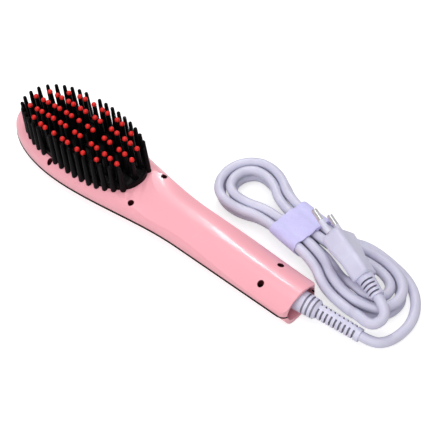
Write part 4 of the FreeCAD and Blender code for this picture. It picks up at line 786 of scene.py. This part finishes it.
# %% Finish the tie
cloth = Finish("lilac_loop_cloth", roughness=0.92, Sheen_Weight=0.35, Sheen_Roughness=0.5)
loops = cloth.noise(2300.0, 2.0)
nap = cloth.noise(210.0, 3.0, cloth.stretched(0.4, 1.0, 1.0))
pile = loops * 0.7 + nap * 0.5
cloth.feed("Base Color", cloth.mix(pile.above(0.35, 0.85), paint(199, 193, 240), paint(214, 211, 252)))
cloth.bump(pile, 0.35, 0.0004)
tie_mesh.materials.append(cloth.material)
print("cloth nodes", len(cloth.tree.nodes))

# %% [markdown]
# ## Metals
# Nickel on the pins is bright with fine marks along their length. The case screws are blackened
# steel, almost lost at the bottom of their holes. The heater's clamp is zinc-plated, and the slip rings
# and contact leaves are brass. Fine stretched noise in the roughness reads as drawing and turning marks.

# %% Finish the metals
def metal(name, light, dark, rough, stretch):
    made = Finish(name, Metallic=1.0)
    marks = made.noise(900.0, 3.0, made.stretched(*stretch))
    made.feed("Base Color", made.mix(marks, dark, light))
    made.feed("Roughness", rough + marks * 0.16)
    return made


nickel = metal("nickel_plate", paint(240, 239, 242), paint(196, 194, 198), 0.06, (0.2, 1.0, 1.0))
wear(nickel, "plug_pins")
blackened = metal("blackened_steel", paint(34, 28, 30), paint(16, 12, 13), 0.4, (1.0, 1.0, 0.3))
wear(blackened, "case_screws")
zinc = metal("zinc_steel", paint(176, 178, 184), paint(146, 148, 156), 0.28, (0.2, 1.0, 1.0))
wear(zinc, "heater_clamp")
brass = metal("brass", paint(206, 172, 96), paint(172, 138, 70), 0.22, (0.15, 1.0, 1.0))
wear(brass, "slip_rings", "contact_leaves")
print("metals", [m.material.name for m in (nickel, blackened, zinc, brass)])

# %% [markdown]
# ## Control panel on the back
# The panel is a glossy dark overlay with a clear window over the display, and three white push
# buttons. The overlay collects fingerprints, so its roughness is patchy. The window is clear acrylic
# with a smoky tint, and its transmission is a plain value on the shader.

# %% Finish the panel
overlay = Finish("gloss_black_overlay", Coat_Weight=0.4)
prints = overlay.noise(150.0, 5.0).above(0.5, 0.8)
overlay.feed("Base Color", overlay.mix(prints, paint(16, 15, 18), paint(30, 28, 32)))
overlay.feed("Roughness", 0.09 + prints * 0.14)
wear(overlay, "panel_overlay")

window = Finish("smoky_acrylic", Transmission_Weight=0.92, IOR=1.49)
haze = window.noise(90.0, 3.0)
window.feed("Base Color", window.mix(haze, paint(150, 148, 156), paint(176, 174, 182)))
window.feed("Roughness", 0.02 + haze * 0.05)
wear(window, "display_window")

button = Finish("white_button_plastic")
rub = button.noise(240.0, 3.0)
button.feed("Base Color", button.mix(rub, paint(232, 230, 231), paint(244, 243, 243)))
button.feed("Roughness", 0.28 + rub * 0.16)
wear(button, "power_button", "plus_button", "minus_button")
print("panel finishes", [f.material.name for f in (overlay, window, button)])

# %% [markdown]
# ## Signs on the buttons
# The three buttons carry the usual signs: power, plus and minus. They are moulded proud by a tenth of
# a millimetre and filled with grey, so they are thin closed shapes that start inside the button
# and end just below its face. A painted mask would be simpler, but it has no edge that catches the
# light. Each sign rides on its own button.

# %% Plates from outlines
PROUD, CHAMFER = 0.1, 0.04


def raised(name, outlines, face, finish, body):
    """Closed plates with a small chamfer that stand proud below a face, from outlines in millimetres."""
    top, bottom = face + PROUD, face - PROUD
    mesh = bpy.data.meshes.new(name)
    build = bmesh.new()
    for outline in outlines:
        loop = [build.verts.new((x * MM, y * MM, top * MM)) for x, y in outline]
        grown = bmesh.ops.extrude_face_region(build, geom=[build.faces.new(loop)])
        moved = [g for g in grown["geom"] if isinstance(g, bmesh.types.BMVert)]
        bmesh.ops.translate(build, verts=moved, vec=(0, 0, (bottom - top) * MM))
        edges = {e for v in moved for e in v.link_edges if all(w in moved for w in e.verts)}
        bmesh.ops.bevel(build, geom=list(edges), offset=CHAMFER * MM, segments=2, affect="EDGES")
    bmesh.ops.recalc_face_normals(build, faces=build.faces)
    build.to_mesh(mesh)
    build.free()
    mesh.materials.append(finish.material)
    made = bpy.data.objects.new(name, mesh)
    bpy.context.collection.objects.link(made)
    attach(made, body)
    print(name, "faces", len(mesh.polygons))


print("plates stand %.1f mm proud" % PROUD)

# %% Outlines of the signs
def bar(x, y, length, width):
    a, b = length / 2, width / 2
    return [(x - a, y - b), (x + a, y - b), (x + a, y + b), (x - a, y + b)]


def cross(x, y, length, width):
    a, b = length / 2, width / 2
    corners_at = [(a, -b), (a, b), (b, b), (b, a), (-b, a), (-b, b)]
    corners_at += [(-a, b), (-a, -b), (-b, -b), (-b, -a), (b, -a), (b, -b)]
    return [(x + p, y + q) for p, q in corners_at]


def open_ring(x, y, radius, width, gap):
    """A ring that is open towards minus Y, which is up for a reader of the panel."""
    steps = 28
    swing = [math.radians(-90 + gap / 2 + (360 - gap) * i / steps) for i in range(steps + 1)]
    outer_edge, inner_edge = [
        [(x + reach * math.cos(t), y + reach * math.sin(t)) for t in swing]
        for reach in (radius + width / 2, radius - width / 2)
    ]
    return outer_edge + inner_edge[::-1]


print("corners of a plus", len(cross(0, 0, 1, 1)))

# %% Mould the signs
SIGN_LENGTH, SIGN_STROKE = 3.4, 0.5
RING_RADIUS, RING_STROKE, RING_GAP = 1.5, 0.42, 70
STEM_RISE, STEM_LENGTH = 1.2, 1.7
button_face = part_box("power_button")[0][2] / MM
sign_grey = Finish("grey_sign_paint", roughness=0.5)
ink = sign_grey.noise(700.0, 2.0)
sign_grey.feed("Base Color", sign_grey.mix(ink, paint(84, 82, 88), paint(102, 100, 106)))


def middle_of(name):
    """Middle of a CAD node, seen from below."""
    low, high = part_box(name)
    return Vector(((low[0] + high[0]) / 2, (low[1] + high[1]) / 2)) / MM


at = middle_of("power_button")
ring_sign = open_ring(at.x, at.y, RING_RADIUS, RING_STROKE, RING_GAP)
stem = bar(at.x, at.y - STEM_RISE, RING_STROKE, STEM_LENGTH)
raised("power_sign", [ring_sign, stem], button_face, sign_grey, "power_button")
at = middle_of("plus_button")
plus = cross(at.x, at.y, SIGN_LENGTH, SIGN_STROKE)
raised("plus_sign", [plus], button_face, sign_grey, "plus_button")
at = middle_of("minus_button")
minus = bar(at.x, at.y, SIGN_LENGTH, SIGN_STROKE)
raised("minus_sign", [minus], button_face, sign_grey, "minus_button")
print("button face at %.2f mm" % button_face)

# %% [markdown]
# ## Digits of the display
# Behind the window sits a three-digit display. Each digit is made of seven pointed bars, and a lit
# bar glows by itself. The bars are thin plates on the face of the display, read from below with the
# paddle on the left. Plates keep the points of the bars sharp, however near the camera comes.

# %% Glow of the digits
glow = Finish("red_segment_glow", roughness=0.3, Emission_Strength=1.6)
flicker = glow.noise(600.0, 1.0)
glow.feed("Base Color", glow.mix(flicker, paint(190, 40, 30), paint(214, 58, 44)))
glow.feed("Emission Color", glow.mix(flicker, paint(226, 52, 38), paint(244, 74, 54)))
print("glow nodes", len(glow.tree.nodes))

# %% Light the digits
DIGIT_PITCH, DIGIT_TALL, DIGIT_BROAD = 5.4, 2.45, 1.45
ACROSS_BAR, UPRIGHT_BAR, BAR_HALF = 2.5, 2.1, 0.34
# Each bar's place from the digit's middle, in half widths and half heights, and whether it is upright
BARS = {
    "a": (0, -1, False),
    "b": (1, -0.5, True),
    "c": (1, 0.5, True),
    "d": (0, 1, False),
    "e": (-1, 0.5, True),
    "f": (-1, -0.5, True),
    "g": (0, 0, False),
}
LIT = {"1": "bc", "8": "abcdefg", "0": "abcdef"}


def segment(x, y, upright):
    half, thick = (UPRIGHT_BAR if upright else ACROSS_BAR) / 2, BAR_HALF
    outline = [(-half, 0), (-half + thick, -thick), (half - thick, -thick), (half, 0)]
    outline += [(half - thick, thick), (-half + thick, thick)]
    return [(x + q, y + p) if upright else (x + p, y + q) for p, q in outline]


middle = middle_of("display_module")
lit_bars = []
for i, digit in enumerate("180"):
    x = middle.x + (i - 1) * DIGIT_PITCH
    for name in LIT[digit]:
        right_by, down_by, upright = BARS[name]
        lit_bars.append(segment(x + right_by * DIGIT_BROAD, middle.y + down_by * DIGIT_TALL, upright))
display_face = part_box("display_module")[0][2] / MM
raised("display_digits", lit_bars, display_face, glow, "brush")
print("lit bars", len(lit_bars))

# %% [markdown]
# ## Inside pieces
# The parts inside the case are seen only when the shells are off, but they keep honest finishes: a
# green board with a faint net of copper under its lacquer, black and grey components, a white ceramic
# heating element, and leads in their usual colours. Most differ only in tone and grain, so one helper
# makes them.

# %% Finish the board
board = Finish("green_lacquered_board")
net = {"Vector": board.places, "Scale": 420.0, "Mortar Size": 0.03}
trace = board.node("ShaderNodeTexBrick", {"offset": 0.5}, net, "Fac")
fibre = board.noise(1200.0, 2.0)
lacquer = board.mix(fibre, paint(18, 84, 48), paint(26, 102, 60))
board.feed("Base Color", board.mix(trace * 0.55, lacquer, paint(72, 138, 84)))
board.feed("Roughness", 0.3 + fibre * 0.15)
wear(board, "control_board")
print("board nodes", len(board.tree.nodes))

# %% Finish the rest of the inside
def moulded(name, light, dark, rough, scale):
    made = Finish(name)
    tone = made.noise(scale, 3.0)
    made.feed("Base Color", made.mix(tone, dark, light))
    made.feed("Roughness", rough - 0.06 + tone * 0.14)
    made.bump(made.noise(scale * 4, 1.0), 0.08, 0.0002)
    return made


display_face_plastic = moulded("dark_display_face", paint(40, 34, 36), paint(26, 22, 24), 0.3, 300.0)
wear(display_face_plastic, "display_module")
black_moulding = moulded("black_moulding", paint(36, 36, 40), paint(22, 22, 25), 0.45, 260.0)
wear(black_moulding, "push_switches", "board_parts")
cream = moulded("cream_holder", paint(214, 206, 190), paint(198, 188, 170), 0.5, 200.0)
wear(cream, "contact_holder")
ceramic = moulded("white_ceramic", paint(236, 232, 224), paint(220, 214, 204), 0.6, 350.0)
wear(ceramic, "heating_element")
fuse_sleeve = moulded("white_fuse_sleeve", paint(226, 222, 212), paint(206, 200, 190), 0.55, 400.0)
wear(fuse_sleeve, "thermal_fuse")
bead = moulded("dark_sensor_bead", paint(52, 40, 34), paint(36, 28, 24), 0.4, 500.0)
wear(bead, "temperature_sensor")
red_lead = moulded("red_lead_cover", paint(190, 44, 40), paint(160, 30, 30), 0.4, 300.0)
wear(red_lead, "heater_leads")
brown_lead = moulded("brown_lead_cover", paint(118, 74, 48), paint(92, 56, 36), 0.4, 300.0)
wear(brown_lead, "mains_leads")
print("finishes", len([m for m in bpy.data.materials if m.users]))

# %% [markdown]
# ## Size
# Dressing must not make the object larger. The scene is brought up to date at the end.

# %% Update the scene
bpy.context.view_layer.update()
